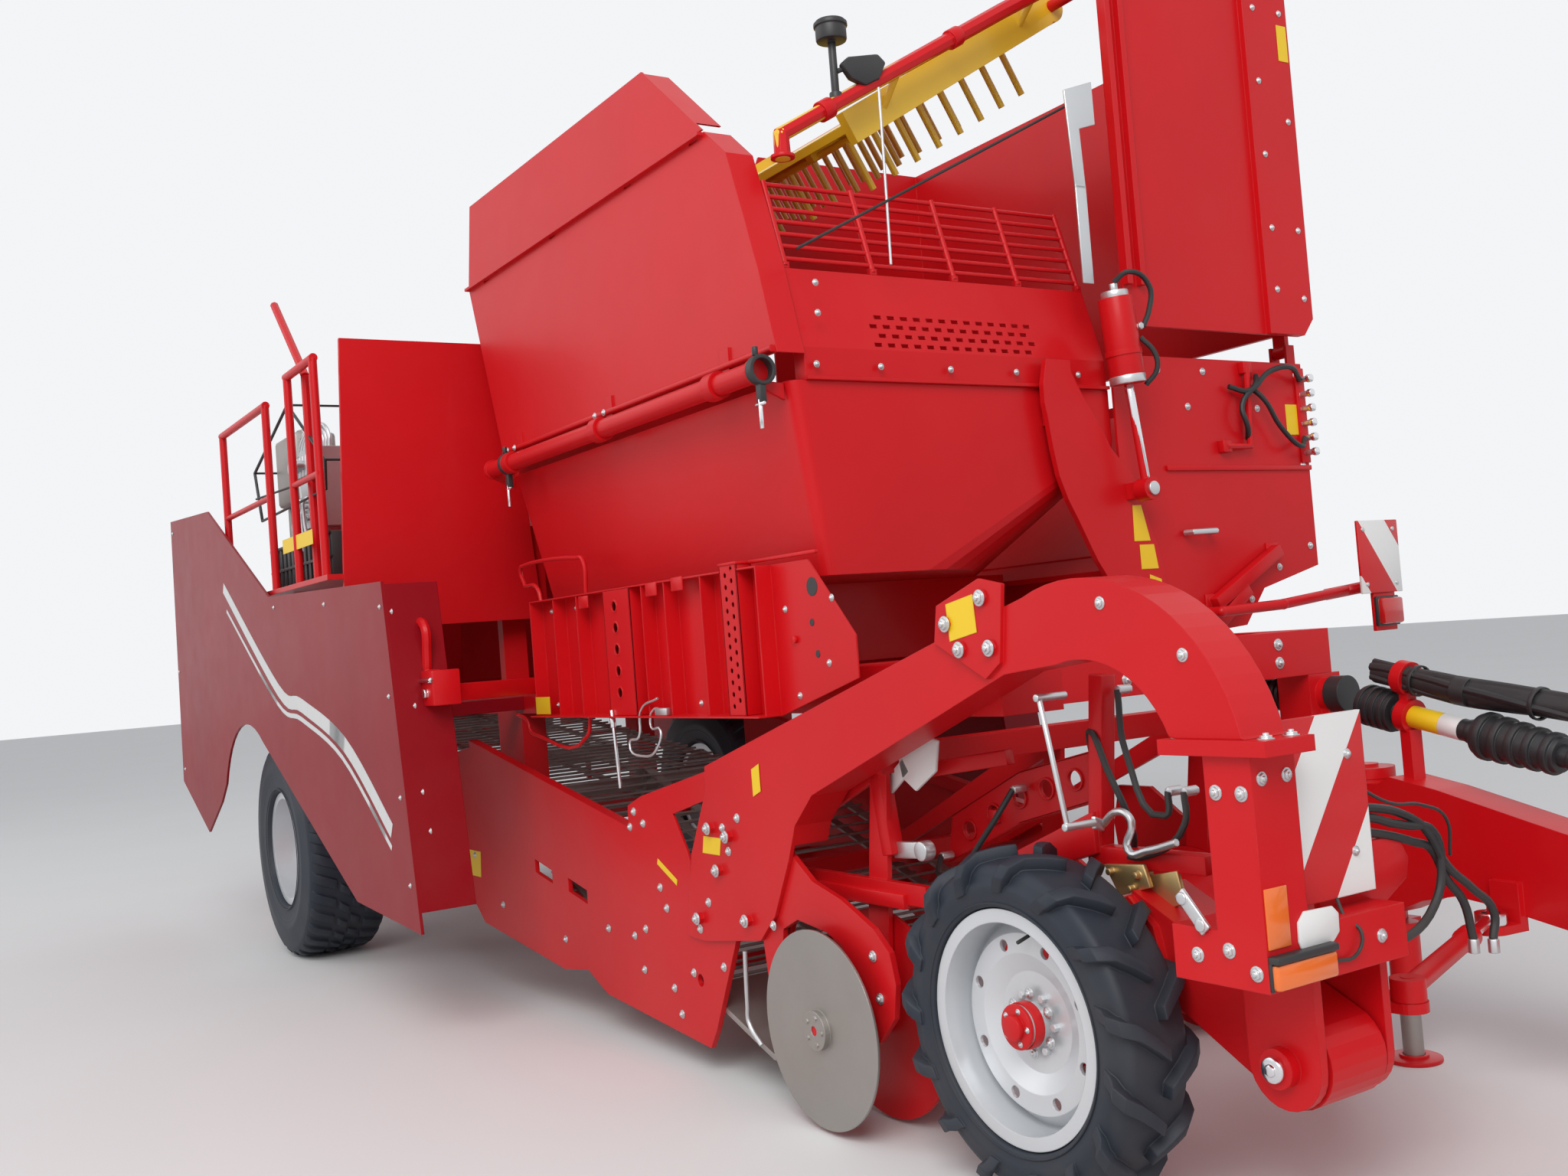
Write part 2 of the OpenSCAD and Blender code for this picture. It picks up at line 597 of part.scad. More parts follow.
// Grille over the front wall, in the same lean
module bunker_grille() {
    y0 = -780;
    y1 = bunker_left - 20;
    z0 = rim_z + front_wall_h;
    x0 = bunker_front - (z0 - 2450) * wall_lean - 4;
    color(red) {
        for (i = [0:grille_bars - 1])
            rod([x0 - (36 + i * 46) * wall_lean, y0, z0 + 36 + i * 46], [x0 - (36 + i * 46) * wall_lean, y1, z0 + 36 + i * 46], 8, 16);
        for (y = [y0, -420, -60, 240, y1]) {
            rod([x0 - 8 * wall_lean, y, z0 + 8], [x0 - 322 * wall_lean, y, z0 + 322], 11, 16);
            block([x0 - 14, y - 14, z0 + seat], [x0 + 4, y + 14, z0 + 22]);
        }
    }
}

// Hinge tube with the end brackets that stand against the hopper
module hinge_tube() {
    color(red) {
        rod([-bunker_back, -wall_axis_y, wall_axis_z], [1165, -wall_axis_y, wall_axis_z], hinge_tube_r, 32);
        for (x = [-bunker_back, 1153])
            plate_yz(concat(arc([-wall_axis_y, wall_axis_z], 44, 0, 270, 18), [[-bunker_right - seat, 2280],
                [-bunker_right - seat, rim_z - 5], [-wall_axis_y + 44, rim_z]]), x, 12);
    }
}

// Folding side wall: an upright sheet with a flange along its front edge and straps round the tube
knuckles = [-1200, -450, 250, 760];
module side_wall() {
    front = [[1220, 2425], [1207, 2470], [1142, 2716], [1080, 2907], [998, 3146], [866, flap_z]];
    n = len(front) - 1;
    color(red) {
        difference() {
            union() {
                plate_xz(concat(front, [[-1390, flap_z], [-bunker_back + 20, 2425]]), -wall_y, sheet);
                plate_xz([[-1390, flap_z - 12], [-1390, flap_z], [860, flap_z], [860, flap_z - 12]], -wall_y - 22, 26);
            }
            for (x = knuckles) block([x, -wall_y - 2, flap_z - 18], [x + 60, -wall_y + 30, flap_z + 10]);
        }
        for (x = knuckles) {
            for (ear = [-12, 60]) block([x + ear, -wall_y + 1, flap_z - 25], [x + ear + 12, -wall_y + 20, flap_z + 7]);
            along_x([x - 12, -wall_y + 13, flap_z]) cylinder(h = 84, r = 6, $fn = 24);
        }
        plate_xz(concat(front, [for (i = [n:-1:0]) front[i] - [10, i == n ? 0 : 2 * sin(90 * i / n)]]), -wall_y, 108);
        for (x = [-900, 0, 900]) {
            along_x([x - 30, -wall_axis_y, wall_axis_z]) ring(hinge_tube_r + fit, 48, 0, 60, 32);
            block([x - 30, -wall_axis_y + 40, wall_axis_z], [x + 30, -wall_y + 3, 2500]);
        }
        rod([-1080, -wall_y - 8, 2440], [1205, -wall_y - 8, 2440], 12, 16);
    }
}

// Upper flap with its peak
module side_flap() {
    edge = [for (h = [10, 50, peak_z - flap_z - 10, peak_z - flap_z]) [866 - 1.15 * h, flap_z + h]];
    color(red) {
        plate_xz([edge[0], edge[3], [-1310, peak_z + 10], [-1390, flap_z + 10]], -wall_y, sheet);
        plate_xz([edge[1], edge[2], edge[2] - [12, 0], edge[1] - [12, 0]], -wall_y, 108);
        for (x = knuckles) {
            along_x([x + 2, -wall_y + 13, flap_z]) ring(6 + fit, 12, 0, 56, 24);
            block([x + 1, -wall_y + 1, flap_z + 6.5], [x + 59, -wall_y + 10, flap_z + 16]);
        }
    }
}

// Lower box: front and rear plates, sloping floor, outer panel and the ears of the discharge section
module lower_box() {
    side = [[bunker_left + seat, 1720], [bunker_left + seat, 2470], [1640, 2470], [1640, 1640], [1300, 1560],
        [1180, 1420], [880, beam_z + beam_h + seat], [beam_in, beam_z + beam_h + seat]];
    rear = -bunker_back;
    color(red) {
        for (x = [rear, box_x - 12]) plate_yz(side, x, 12);
        block([rear + 10, 1620, 1640], [box_x - 10, 1640, 2470]);
        plate_yz([[bunker_left + seat, 1650], [bunker_left + seat, 1670], [1600, 2420], [1621, 2420], [1621, 2400]],
            rear + 10, box_x - rear - 20);
        block([rear + 10, beam_in, beam_z + beam_h + seat], [box_x - 10, beam_in + 20, 1735]);
        for (x = [-1100, 0, 1130]) {
            for (ear = [-14, 62]) block([x + ear, 1600, 2465], [x + ear + 12, 1650, 2555]);
            along_x([x - 14, head_axis_y, head_axis_z]) cylinder(h = 88, r = head_pin_r, $fn = 24);
        }
    }
}

// Curved post in front of the seam between hopper and lower box
module curved_post() {
    color(red) plate_yz([[213, 2435], [190, 2345], [188, 2275], [200, 2207], [213, 2105], [232, 2010], [265, 1925],
        [306, 1850], [345, 1775], [384, 1700], [450, 1605], [530, 1500], [beam_in, beam_z + beam_h + seat],
        [beam_in + beam_w, beam_z + beam_h + seat], [735, 1480], [725, 1570], [720, 1650], [695, 1750], [660, 1830],
        [635, 1930], [600, 2010], [500, 2110], [430, 2230], [375, 2310], [330, 2390], [330, 2435]], box_front, 24);
    color(red) block([bunker_front + seat, 220, 2200], [box_front, 300, 2320]);
}

// Lift cylinder in front of the seam: barrel above, rod and eye below
module lift_cylinder() {
    x = box_front + 105;
    color(steel) {
        rod([x, 530, 2345], [x, 500, 2650], 62, 32);
        rod([x, 521, 2440], [x, 519, 2460], 67, 32);
        rod([x, 578, 1960], [x, 530, 2345], 16, 24);
        along_x([x - 30, 580, 1950]) cylinder(h = 60, r = 42, $fn = 32);
        block([box_front + 24 + seat, 555, 1920], [x - 20, 605, 1980]);
        block([box_front, 545, 2385], [x, 610, 2425]);
    }
}

// Discharge section: a trough that stands on its hinge, open towards the bunker
module discharge_head() {
    y1 = cover_y - 5;
    side = [[600, 2570], [600, head_top_z], [y1, head_top_z], [y1, 2640], [y1 - 60, 2570]];
    xa = -bunker_back;
    xb = 1290;
    color(red) {
        for (x = [xa, xb - 12]) plate_yz(side, x, 12);
        plate_yz([[1380, 2570], [1380, head_top_z], [y1, head_top_z], [y1, 2640], [y1 - 60, 2570]], xb - 1, 25);
        block([xa + 10, 1600, 2600], [xb - 10, 1625, head_top_z]);
        for (y = [600, 670]) block([xb - 2, y, 2720], [xb + 28, y + 26, head_top_z]);
        for (x = [-1100, 0, 1130]) {
            along_x([x, head_axis_y, head_axis_z]) ring(head_pin_r + fit, cover_y - head_axis_y, 0, 60, 32);
            block([x, head_axis_y - 12, head_axis_z + 20], [x + 60, head_axis_y + 12, 2610]);
        }
        for (x = [xa, xb - 12]) plate_yz([[700, head_top_z - 60], [700, head_top_z], [590, head_top_z], [560, 3900],
            [600, 3820], [700, 3820]], x, 12);
        along_x([xa + 11, tip_hinge[0], tip_hinge[1]]) cylinder(h = xb - xa - 22, r = 22, $fn = 32);
    }
}

// Fold-over tip: side channels, dark belt and the guard tube with its lamp stalk
module discharge_tip() {
    b = tip_hinge + tip_dir * tip_len;
    n = [-tip_dir[1], tip_dir[0]];
    color(yellow) {
        for (x = [-1000, 960]) {
            plate_yz([tip_hinge + n * -60 + tip_dir * 30, b + n * -60, b + n * 60, tip_hinge + n * 60 + tip_dir * 30], x, 40);
            along_x([x, tip_hinge[0], tip_hinge[1]]) ring(22 + fit, 62, 0, 40, 32);
        }
        plate_yz([tip_hinge + n * -20 + tip_dir * 70, b + n * -20, b + n * 12, tip_hinge + n * 12 + tip_dir * 70], -965, 1930);
        bent([[1090, -740, 3110], [1090, -740, 3195], [1090, 300, 3790], [1090, 500, 3900]], 26);
        for (t = [200, 1000]) rod([990, tip_hinge[0] + tip_dir[0] * t, tip_hinge[1] + tip_dir[1] * t],
            [1095, tip_hinge[0] + tip_dir[0] * t, 3195 + (tip_hinge[0] + tip_dir[0] * t + 740) * 0.572], 14, 16);
        rod([1090, -500, 3330], [1090, -500, 3560], 12, 16);
        rod([1090, -500, 3550], [1090, -500, 3620], 50, 16);
    }
}
module tip_fingers() {
    n = [tip_dir[1], -tip_dir[0]];
    color(yellow) {
        for (i = [0:finger_rows - 1]) {
            p = tip_hinge + tip_dir * (150 + i * 130) - n * 35;
            rod([-900, p[0], p[1]], [900, p[0], p[1]], 14, 12);
            for (x = [-800, -400, 0, 400, 800]) rod([x, p[0], p[1]], [x, p[0] - n[0] * 205, p[1] - n[1] * 205], 13, 8);
        }
        for (x = [-620, 580]) plate_yz([for (c = [[120, -12 - seat], [1100, -12 - seat], [1100, -45], [120, -45]])
            tip_hinge + tip_dir * c[0] + n * c[1]], x, 40);
    }
}

// Ribbed guard box on the right-hand side
module side_guard() {
    color(red) {
        plate_xz([[-800, 1255], [1080, 1255], [1530, 1370], [1530, 1500], [1300, 1750], [-800, 1750]], -wall_y, 6);
        block([-800, -wall_y - 90, 1255], [1080, -wall_y, 1261]);
        block([-800, -wall_y - 60, 1744], [1080, -wall_y, 1750]);
        for (x = [-800, -560, -330, -20, 250, 430, 700, 1074])
            plate_xz([[x, 1258], [x + 6, 1258], [x + 6, 1747], [x, 1747]], -wall_y - (x == 1074 || x == -800 ? 60 : 58), 60);
        for (x = [-600, 900]) block([x, -wall_y + 2, 1300], [x + 60, -beam_in - beam_w - seat, 1360]);
    }
}

// Side cover with its wheel arch, stepped top edge and a return flange at the front
module cover(side) {
    front = side > 0 ? [[-460, 480], [-628, 1545], [-1150, 1590], [-1180, 1880]] : [[-460, 480], [-670, 1860]];
    outline = concat(front, [[-2500, 1920], [-3800, 2500], [-4900, 2560], [-5000, 900], [-4300, 620],
        [-3900, 820]], arc([axle_x, axle_z], 690, 150, 60, 12), [[-1290, 520]]);
    y0 = side > 0 ? cover_y - 12 : -cover_y;
    color(red) {
        plate_xz(outline, y0, 12);
        top = side > 0 ? 1540 : 1850;
        plate_xz([[-472, 560], [-494, 560], [-494 - (top - 560) * 0.152, top], [-472 - (top - 560) * 0.152, top]],
            side > 0 ? cover_y - 232 : -cover_y + 10, 222);
        for (x = [-1500, -4200]) block([x, side > 0 ? beam_in + beam_w + seat : -cover_y + 10, beam_z + 20],
            [x + 60, side > 0 ? cover_y - 10 : -beam_in - beam_w - seat, beam_z + 80]);
    }
}

// Housing of the rear elevator
module rear_hood() {
    z0 = beam_z + beam_h + seat;
    w = beam_in + beam_w;
    color(red) {
        difference() {
            plate_xz([[-3900, z0], [-3900, 2500], [-4250, 2950], [-4850, 2950], [-5060, 2700], [-5060, 1000],
                [-4705, 1000], [-4705, z0]], -w, 2 * w);
            plate_xz([[-3920, 900], [-3920, 2490], [-4260, 2930], [-4840, 2930], [-5040, 2690], [-5040, 900]],
                -w + 20, 2 * w - 40);
            block([-3950, -600, 1900], [-3850, 600, 2450]);
        }
        block([-rear_end_x, -900, 900], [-5050, 900, 1040]);
    }
}

// Platform floor on brackets with its railing, and a panel in front of the right one
module platform(side) {
    ya = side > 0 ? 780 : -1620;
    yb = side > 0 ? 1620 : -780;
    yo = side * 1590;
    rear = side > 0 ? -4600 : -3600;
    z0 = beam_z + beam_h + seat;
    color(red) {
        block([rear, ya, 1930], [-1525, yb, 1955]);
        for (x = [-3500, -2600, -1700]) {
            block([x, side > 0 ? beam_in : -beam_in - beam_w, z0], [x + 60, side > 0 ? beam_in + beam_w : -beam_in, 1930]);
            block([x, side > 0 ? beam_in : -1500, 1880], [x + 60, side > 0 ? 1500 : -beam_in, 1932]);
        }
        for (r = [[-3550, -2560, 2900], [-2100, -1640, 2960]]) {
            for (x = [r[0], r[1]]) rod([x, yo, 1950], [x, yo, r[2]], 20, 24);
            for (z = [2430, r[2]]) rod([r[0] - 18, yo, z], [r[1] + 18, yo, z], z == 2430 ? 15 : 20, 24);
        }
        if (side > 0) {
            block([-4500, beam_in + beam_w + seat, 1880], [-4440, 1500, 1932]);
            for (y = [ladder_y[0] - 34, ladder_y[1] + 20])
                plate_xz([[-4602, 1930], [-4560, 1870], [-4560, 1940], [-4655, 1940], [-4665, 1900], [-4640, 1865]], y, 14);
            rod([-4640, ladder_y[0] - 30, 1895], [-4640, ladder_y[1] + 30, 1895], 10, 24);
        } else {
            plate_yz([[-1560, 1700], [-1500, 3030], [-700, 3030], [-600, 1700]], -1530, 20);
        }
    }
}

// Valve block on its post
module valve_block() {
    color(steel) {
        block([-2500, -1450, 2250], [-2250, -1250, 2650]);
        block([-2420, -1390, 1955 + seat], [-2330, -1310, 2251]);
        for (x = [-2480, -2410, -2340]) along_y([x + 30, -1450, 2560]) cylinder(h = 70, r = 24, $fn = 24);
    }
}

// Table between the platforms: side rails, belt and legs
module picking_table() {
    color(red) {
        for (y = [-620, 600]) block([-3879, y, 2150], [-1200, y + 20, 2500]);
        for (x = [-3600, -2600, -1700]) block([x, -601, 2150], [x + 80, 601, 2200]);
        for (x = [-3180, -1600]) for (y = [-620, 560])
            block([x, y, beam_z + beam_h + seat], [x + 60, y + 60, 2160]);
        block([-3870, -601, 2300], [-1250, 601, 2330]);
    }
}

// Intake: side plates with their flange, cross tubes and the strut towards the arched beam
module intake_frame() {
    rear = [[-1820, 1080], [-1610, 1110]];
    top = [510, 700];
    nose = [[800, 520], [800, 500], [620, 170], [570, 100], [-250, 160], [-420, 230], [-660, 200], [-1550, 290]];
    y0 = -intake_out + seat;
    yl = intake_left - 20 - seat;
    color(red) {
        difference() {
            plate_xz(concat(rear, [top], nose, [[-1930, 560]]), y0, 20 - seat);
            for (p = [[-900, 640], [-560, 590]]) plate_xz([p, p + [180, -34], p + [180, -90], p + [0, -56]], y0 - 1, 30);
            along_y([530, y0 + 30, 330]) cylinder(h = 60, r = 22, $fn = 24);
        }
        plate_xz(concat([[-1680, 1098], rear[1], top], nose, [[-1680, 320]]), yl, 20);
        for (y = [y0, yl]) plate_xz([[-1600, 1100], [-1610, 1145], [520, 750], [510, 695]], y == y0 ? y0 : yl - 25, 45);
        plate_xz([[40, 800], [50, 920], [170, 962], [684, 1072], [684, 976], [410, 908], [500, 780], [520, 730]], y0, 10);
        for (p = [[-1200, 420], [-400, 330], [-100, 215]]) rod([p[0], y0 + 5, p[1]], [p[0], yl + 5, p[1]], 30, 24);
        block([370, y0 + 5, 600], [430, yl + 5, 660]);
    }
}

// Share with its pointed blades between the side plates
module share() {
    n = 8;
    color(steel) intersection() {
        plate_xz([[510, 285], [510, 305], [1090, 105], [1090, 85]], -intake_out, intake_out + intake_left);
        linear_extrude(600) polygon(concat([[500, plate_in + seat]], [for (i = [0:n - 1]) for (k = [0:2])
            [k == 1 ? 1085 : 960, plate_in + seat + (i + k / 2) * (intake_left - 20 - 2 * seat - plate_in - seat) / n]],
            [[500, intake_left - 20 - 2 * seat]]));
    }
}

// Rod web round two rollers: outline r from the line between p and q, bars at the pitch, three belts on drums
module stadium(p, q, r) {
    d = (q - p) / norm(q - p);
    n = [-d[1], d[0]];
    translate(p) circle(r, $fn = 32);
    translate(q) circle(r, $fn = 32);
    polygon([p + n * r, q + n * r, q - n * r, p - n * r]);
}
module rod_web(p, q, r, ya, yb, end_a, end_b) {
    d = (q - p) / norm(q - p);
    n = [-d[1], d[0]];
    count = floor(norm(q - p) / web_pitch);
    belts = [ya + 30, (ya + yb) / 2 - 25, yb - 80];
    color(black) {
        for (y = belts) {
            translate([0, y + 50, 0]) rotate([90, 0, 0]) linear_extrude(50) difference() {
                stadium(p, q, r);
                stadium(p, q, r - 10);
            }
        }
        for (s = [-1, 1]) for (i = [0:count]) {
            c = p + (q - p) * i / count + n * s * (r + 2);
            rod([c[0], ya, c[1]], [c[0], yb, c[1]], 6, 6);
        }
        for (c = [p + (p - q) / norm(p - q) * (r + 2), q + d * (r + 2)]) rod([c[0], ya, c[1]], [c[0], yb, c[1]], 6, 6);
        for (c = [p, q]) {
            rod([c[0], ya + 35, c[1]], [c[0], yb - 35, c[1]], r / 2, 32);
            for (y = belts) rod([c[0], y - 10, c[1]], [c[0], y + 60, c[1]], r - 6, 32);
            rod([c[0], end_a, c[1]], [c[0], end_b, c[1]], 25, 24);
        }
    }
}
module intake_web() {
    rod_web([420, 230], [-1385, 865], 70, plate_in + 15, intake_left - 36, plate_in + seat, intake_left - 20 - 2 * seat);
}
module rear_web() {
    rod_web([-1740, web_z], [-4150, web_z + 300], 58, -560, 560, -beam_in + seat, beam_in - seat);
}

// Arms of the discs, curved over them, with the cross tube between them
module disc_arms() {
    outline = [[960, 700], [1000, 845], [1160, 845], [1300, 750], [1450, 710], [1610, 640], [1680, 580], [1700, 490],
        [1680, 390], [1600, 310], [1500, 270], [1390, 250], [1320, 262], [1300, 315], [1320, 360], [1390, 370],
        [1440, 405], [1475, 460], [1480, 520], [1440, 570], [1360, 600], [1200, 620], [1110, 580], [1085, 420], [1040, 375],
        [995, 420]];
    color(red) {
        plate_xz(outline, -intake_out + seat, 20 - seat);
        plate_xz(outline, intake_left + 5, 20);
        rod([1040, plate_in - 5, 420], [1040, intake_left + 10, 420], 30, 24);
        along_y([disc_at[0], plate_in - 5, disc_at[1]]) cylinder(h = 85, r = 15, $fn = 24);
        along_y([disc_at[0], intake_left + 100, disc_at[1]]) cylinder(h = 90, r = 15, $fn = 24);
    }
}

// Disc with its hub, from the sheet's side at y
module disc(y) {
    color(steel) difference() {
        union() {
            along_y([disc_at[0], y, disc_at[1]]) cylinder(h = 8, r = disc_r, $fn = 64);
            along_y([disc_at[0], y + 20, disc_at[1]]) cylinder(h = 48, r = 60, $fn = 32);
            for (i = [0:4]) along_y([disc_at[0] + 42 * cos(i * 72), y + 24, disc_at[1] + 42 * sin(i * 72)])
                cylinder(h = 56, r = 8, $fn = 6);
        }
        along_y([disc_at[0], y + 60, disc_at[1]]) cylinder(h = 120, r = 15 + fit, $fn = 32);
    }
}

// Waisted roller that runs on a ridge, from y = a to b
module ridge_roller(a, b) {
    w = b - a;
    color(red) along_y([roller_at[0], b, roller_at[1]]) difference() {
        rotate_extrude($fn = round_fn) polygon(concat([[axle_r + fit, 0], [roller_r, 0], [roller_r, 12]],
            [for (i = [0:10]) [waist_r + (roller_r - 25 - waist_r) * pow(abs(i - 5) / 5, 1.6), 14 + (w - 28) * i / 10]],
            [[roller_r, w - 12], [roller_r, w], [axle_r + fit, w]]));
    }
}

// Frame of the ridge rollers: bar, hanging plates, axle and the arms back to the intake
module roller_frame() {
    ends = [-843, -130, 565];
    color(red) {
        block([1460, -arch_out + arch_w + seat, 1075], [1540, 600, 1155]);
        for (y = ends) {
            plate_xz(concat([[1540, 1100], [1460, 1100]], arc(roller_at, 60, 150, 360, 12)), y, 18);
            plate_xz([[1470, 1140], [1470, 1050], [430 + seat, 605], [430 + seat, 655]], y, 18);
        }
        rod([roller_at[0], ends[0], roller_at[1]], [roller_at[0], ends[2] + 18, roller_at[1]], axle_r, 24);
        block([1010, -857, 690], [1710, -830, 752]);
    }
}

// Arm of the left-hand board
module board_arm() {
    color(red) {
        rod([box_front, 930, 1480], [1335, 930, 1480], 20, 24);
        rod([1330, 925, 1480], [1400, 1200, 1490], 20, 24);
        rod([1399, 1195, 1490], [1400, 1640, 1530], 20, 24);
        translate([1332, 930, 1480]) sphere(21, $fn = 24);
        translate([1400, 1200, 1490]) sphere(21, $fn = 24);
    }
}

// Ladder that hangs at the rear edge of the left platform
ladder_y = [1000, 1400];
module ladder() {
    color(red) {
        for (y = [ladder_y[0], ladder_y[1] - 30]) difference() {
            union() {
                block([-4655, y, 620], [-4625, y + 30, 1895]);
                along_y([-4640, y + 30, 1895]) cylinder(h = 30, r = 22, $fn = 32);
            }
            along_y([-4640, y + 40, 1895]) cylinder(h = 50, r = 10 + fit, $fn = 24);
        }
        for (z = [660:280:1780]) block([-4660, ladder_y[0] + 10, z], [-4600, ladder_y[1] - 10, z + 24]);
    }
}

main_frame();
rear_axle();
front_tower();
arched_beam();
wheel_arm();
pivot_tower();
knuckle(-1);  // knuckle_right
knuckle(1);  // knuckle_left
steering_rod();
steering_cylinder();
tyre_rear(-1);  // tyre_rear_right
tyre_rear(1);  // tyre_rear_left
rim_rear(-1);  // rim_rear_right
rim_rear(1);  // rim_rear_left
tyre_front();
rim_front();
hopper();
moving_floor();
bunker_front_wall();
bunker_rear_wall();
bunker_grille();
hinge_tube();
side_wall();
side_flap();
lower_box();
curved_post();
lift_cylinder();
discharge_head();
discharge_tip();
tip_fingers();
side_guard();
cover(-1);  // cover_right
cover(1);  // cover_left
rear_hood();
platform(-1);  // platform_right
platform(1);  // platform_left
valve_block();
picking_table();
intake_frame();
share();
intake_web();
rear_web();
disc_arms();
disc(-1030);  // disc_right
disc(710);  // disc_left
ridge_roller(-820, -170);  // ridge_roller_right
ridge_roller(-70, 560);  // ridge_roller_left
roller_frame();
tow_beam();
shaft_stand();
swing_barrel();
swing_rod();
drive_shaft();
rear_shaft();
hose_bundle();
jack_leg();
warning_board();
board_arm();
ladder();
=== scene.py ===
import json
import math
import bpy
from mathutils import Matrix, Vector


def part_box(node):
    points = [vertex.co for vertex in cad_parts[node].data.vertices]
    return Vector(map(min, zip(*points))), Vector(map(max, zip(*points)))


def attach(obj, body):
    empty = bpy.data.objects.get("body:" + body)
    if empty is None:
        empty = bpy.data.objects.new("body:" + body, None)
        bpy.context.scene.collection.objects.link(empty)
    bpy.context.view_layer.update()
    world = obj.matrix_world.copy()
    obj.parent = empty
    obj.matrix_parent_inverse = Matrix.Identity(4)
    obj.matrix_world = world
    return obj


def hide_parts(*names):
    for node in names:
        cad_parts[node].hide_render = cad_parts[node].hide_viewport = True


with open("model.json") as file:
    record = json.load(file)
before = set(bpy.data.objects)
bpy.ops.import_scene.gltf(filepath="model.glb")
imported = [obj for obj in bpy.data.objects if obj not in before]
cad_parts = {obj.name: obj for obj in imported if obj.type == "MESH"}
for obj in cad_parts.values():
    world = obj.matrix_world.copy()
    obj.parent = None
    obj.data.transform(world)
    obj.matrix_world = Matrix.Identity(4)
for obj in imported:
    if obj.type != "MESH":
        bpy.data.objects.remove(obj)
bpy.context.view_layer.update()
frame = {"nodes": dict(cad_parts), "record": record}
nodes = frame["nodes"]
print("frame loaded:", len(nodes), "nodes")

# Camera, worked out from the vanishing points of the machine's edges in the photograph
camera = {
    "place": (5.204, -3.497, 1.5),
    "forward": (-0.8422, 0.5381, 0.0351),
    "right": (0.5345, 0.8416, -0.0777),  # leans because the picture was taken slightly turned
    "focalPixels": 1946,
    "imageWidth": 2048,
    "sensorWidth": 36,
    "clipEnd": 200,
}


def buildCamera(setup=camera):
    forward = Vector(setup["forward"]).normalized()
    right = Vector(setup["right"]).normalized()
    up = right.cross(forward).normalized()
    matrix = Matrix((right, up, -forward)).transposed().to_4x4()
    matrix.translation = Vector(setup["place"])
    bpy.ops.object.camera_add()
    obj = bpy.context.object
    obj.name = "viewCamera"
    obj.matrix_world = matrix
    obj.data.sensor_fit = "HORIZONTAL"
    obj.data.sensor_width = setup["sensorWidth"]
    obj.data.lens = setup["focalPixels"] / setup["imageWidth"] * setup["sensorWidth"]
    obj.data.clip_end = setup["clipEnd"]
    bpy.context.scene.camera = obj


buildCamera()
print("camera ready")

# Shader groups: each has named sockets and is placed in many materials
edgeWearHighlightForm = {"radius": 0.006, "amount": 0.5, "flat": 0.98, "sharp": 0.72, "patchScale": 9.0,
            "patches": (0.45, 0.65)}
dustForm = {"amount": 0.3, "scale": 3.0, "top": 1.3, "topShare": 0.25, "patches": (0.42, 0.78)}
toneForm = {"color": (0.5, 0.5, 0.5, 1), "spread": 0.12, "scale": 1.6}
grainScale = 180.0


def newGroup(name, inputs, outputs):  # inputs: {label: default}, outputs: {label: socket type}
    group = bpy.data.node_groups.new(name, "ShaderNodeTree")
    for label, value in inputs.items():
        kind = "NodeSocketColor" if isinstance(value, tuple) else "NodeSocketFloat"
        group.interface.new_socket(name=label, in_out="INPUT", socket_type=kind).default_value = value
    for label, kind in outputs.items():
        group.interface.new_socket(name=label, in_out="OUTPUT", socket_type=kind)
    return group, group.nodes.new("NodeGroupInput"), group.nodes.new("NodeGroupOutput")


def addNode(tree, kind, **settings):
    node = tree.nodes.new(kind)
    for key, value in settings.items():
        setattr(node, key, value)
    return node


def addNoise(tree, scale, detail=4.0, roughness=0.55):
    place = addNode(tree, "ShaderNodeTexCoord")
    noise = addNode(tree, "ShaderNodeTexNoise")
    noise.inputs["Scale"].default_value = scale
    noise.inputs["Detail"].default_value = detail
    noise.inputs["Roughness"].default_value = roughness
    tree.links.new(place.outputs["Object"], noise.inputs["Vector"])
    return noise


def objectAxes(tree):  # X, Y and Z of the piece's own coordinates
    place = addNode(tree, "ShaderNodeTexCoord")
    split = addNode(tree, "ShaderNodeSeparateXYZ")
    tree.links.new(place.outputs["Object"], split.inputs[0])
    return split.outputs


def rangeNode(tree, source, low, high, outLow=0.0, outHigh=1.0):
    node = addNode(tree, "ShaderNodeMapRange")
    node.inputs["From Min"].default_value = low
    node.inputs["From Max"].default_value = high
    node.inputs["To Min"].default_value = outLow
    node.inputs["To Max"].default_value = outHigh
    tree.links.new(source, node.inputs["Value"])
    return node.outputs["Result"]


def mathNode(tree, operation, first, second):
    node = addNode(tree, "ShaderNodeMath", operation=operation)
    for socket, value in zip(node.inputs, (first, second)):
        if isinstance(value, (int, float)):
            socket.default_value = value
        else:
            tree.links.new(value, socket)
    return node.outputs[0]


def product(tree, *factors):
    result = factors[0]
    for factor in factors[1:]:
        result = mathNode(tree, "MULTIPLY", result, factor)
    return result


def mixColor(tree, factor, first, second):
    node = addNode(tree, "ShaderNodeMix", data_type="RGBA")
    tree.links.new(factor, node.inputs["Factor"])
    for socket, value in ((node.inputs[6], first), (node.inputs[7], second)):
        if isinstance(value, tuple):
            socket.default_value = (*value, 1)
        else:
            tree.links.new(value, socket)
    return node.outputs[2]
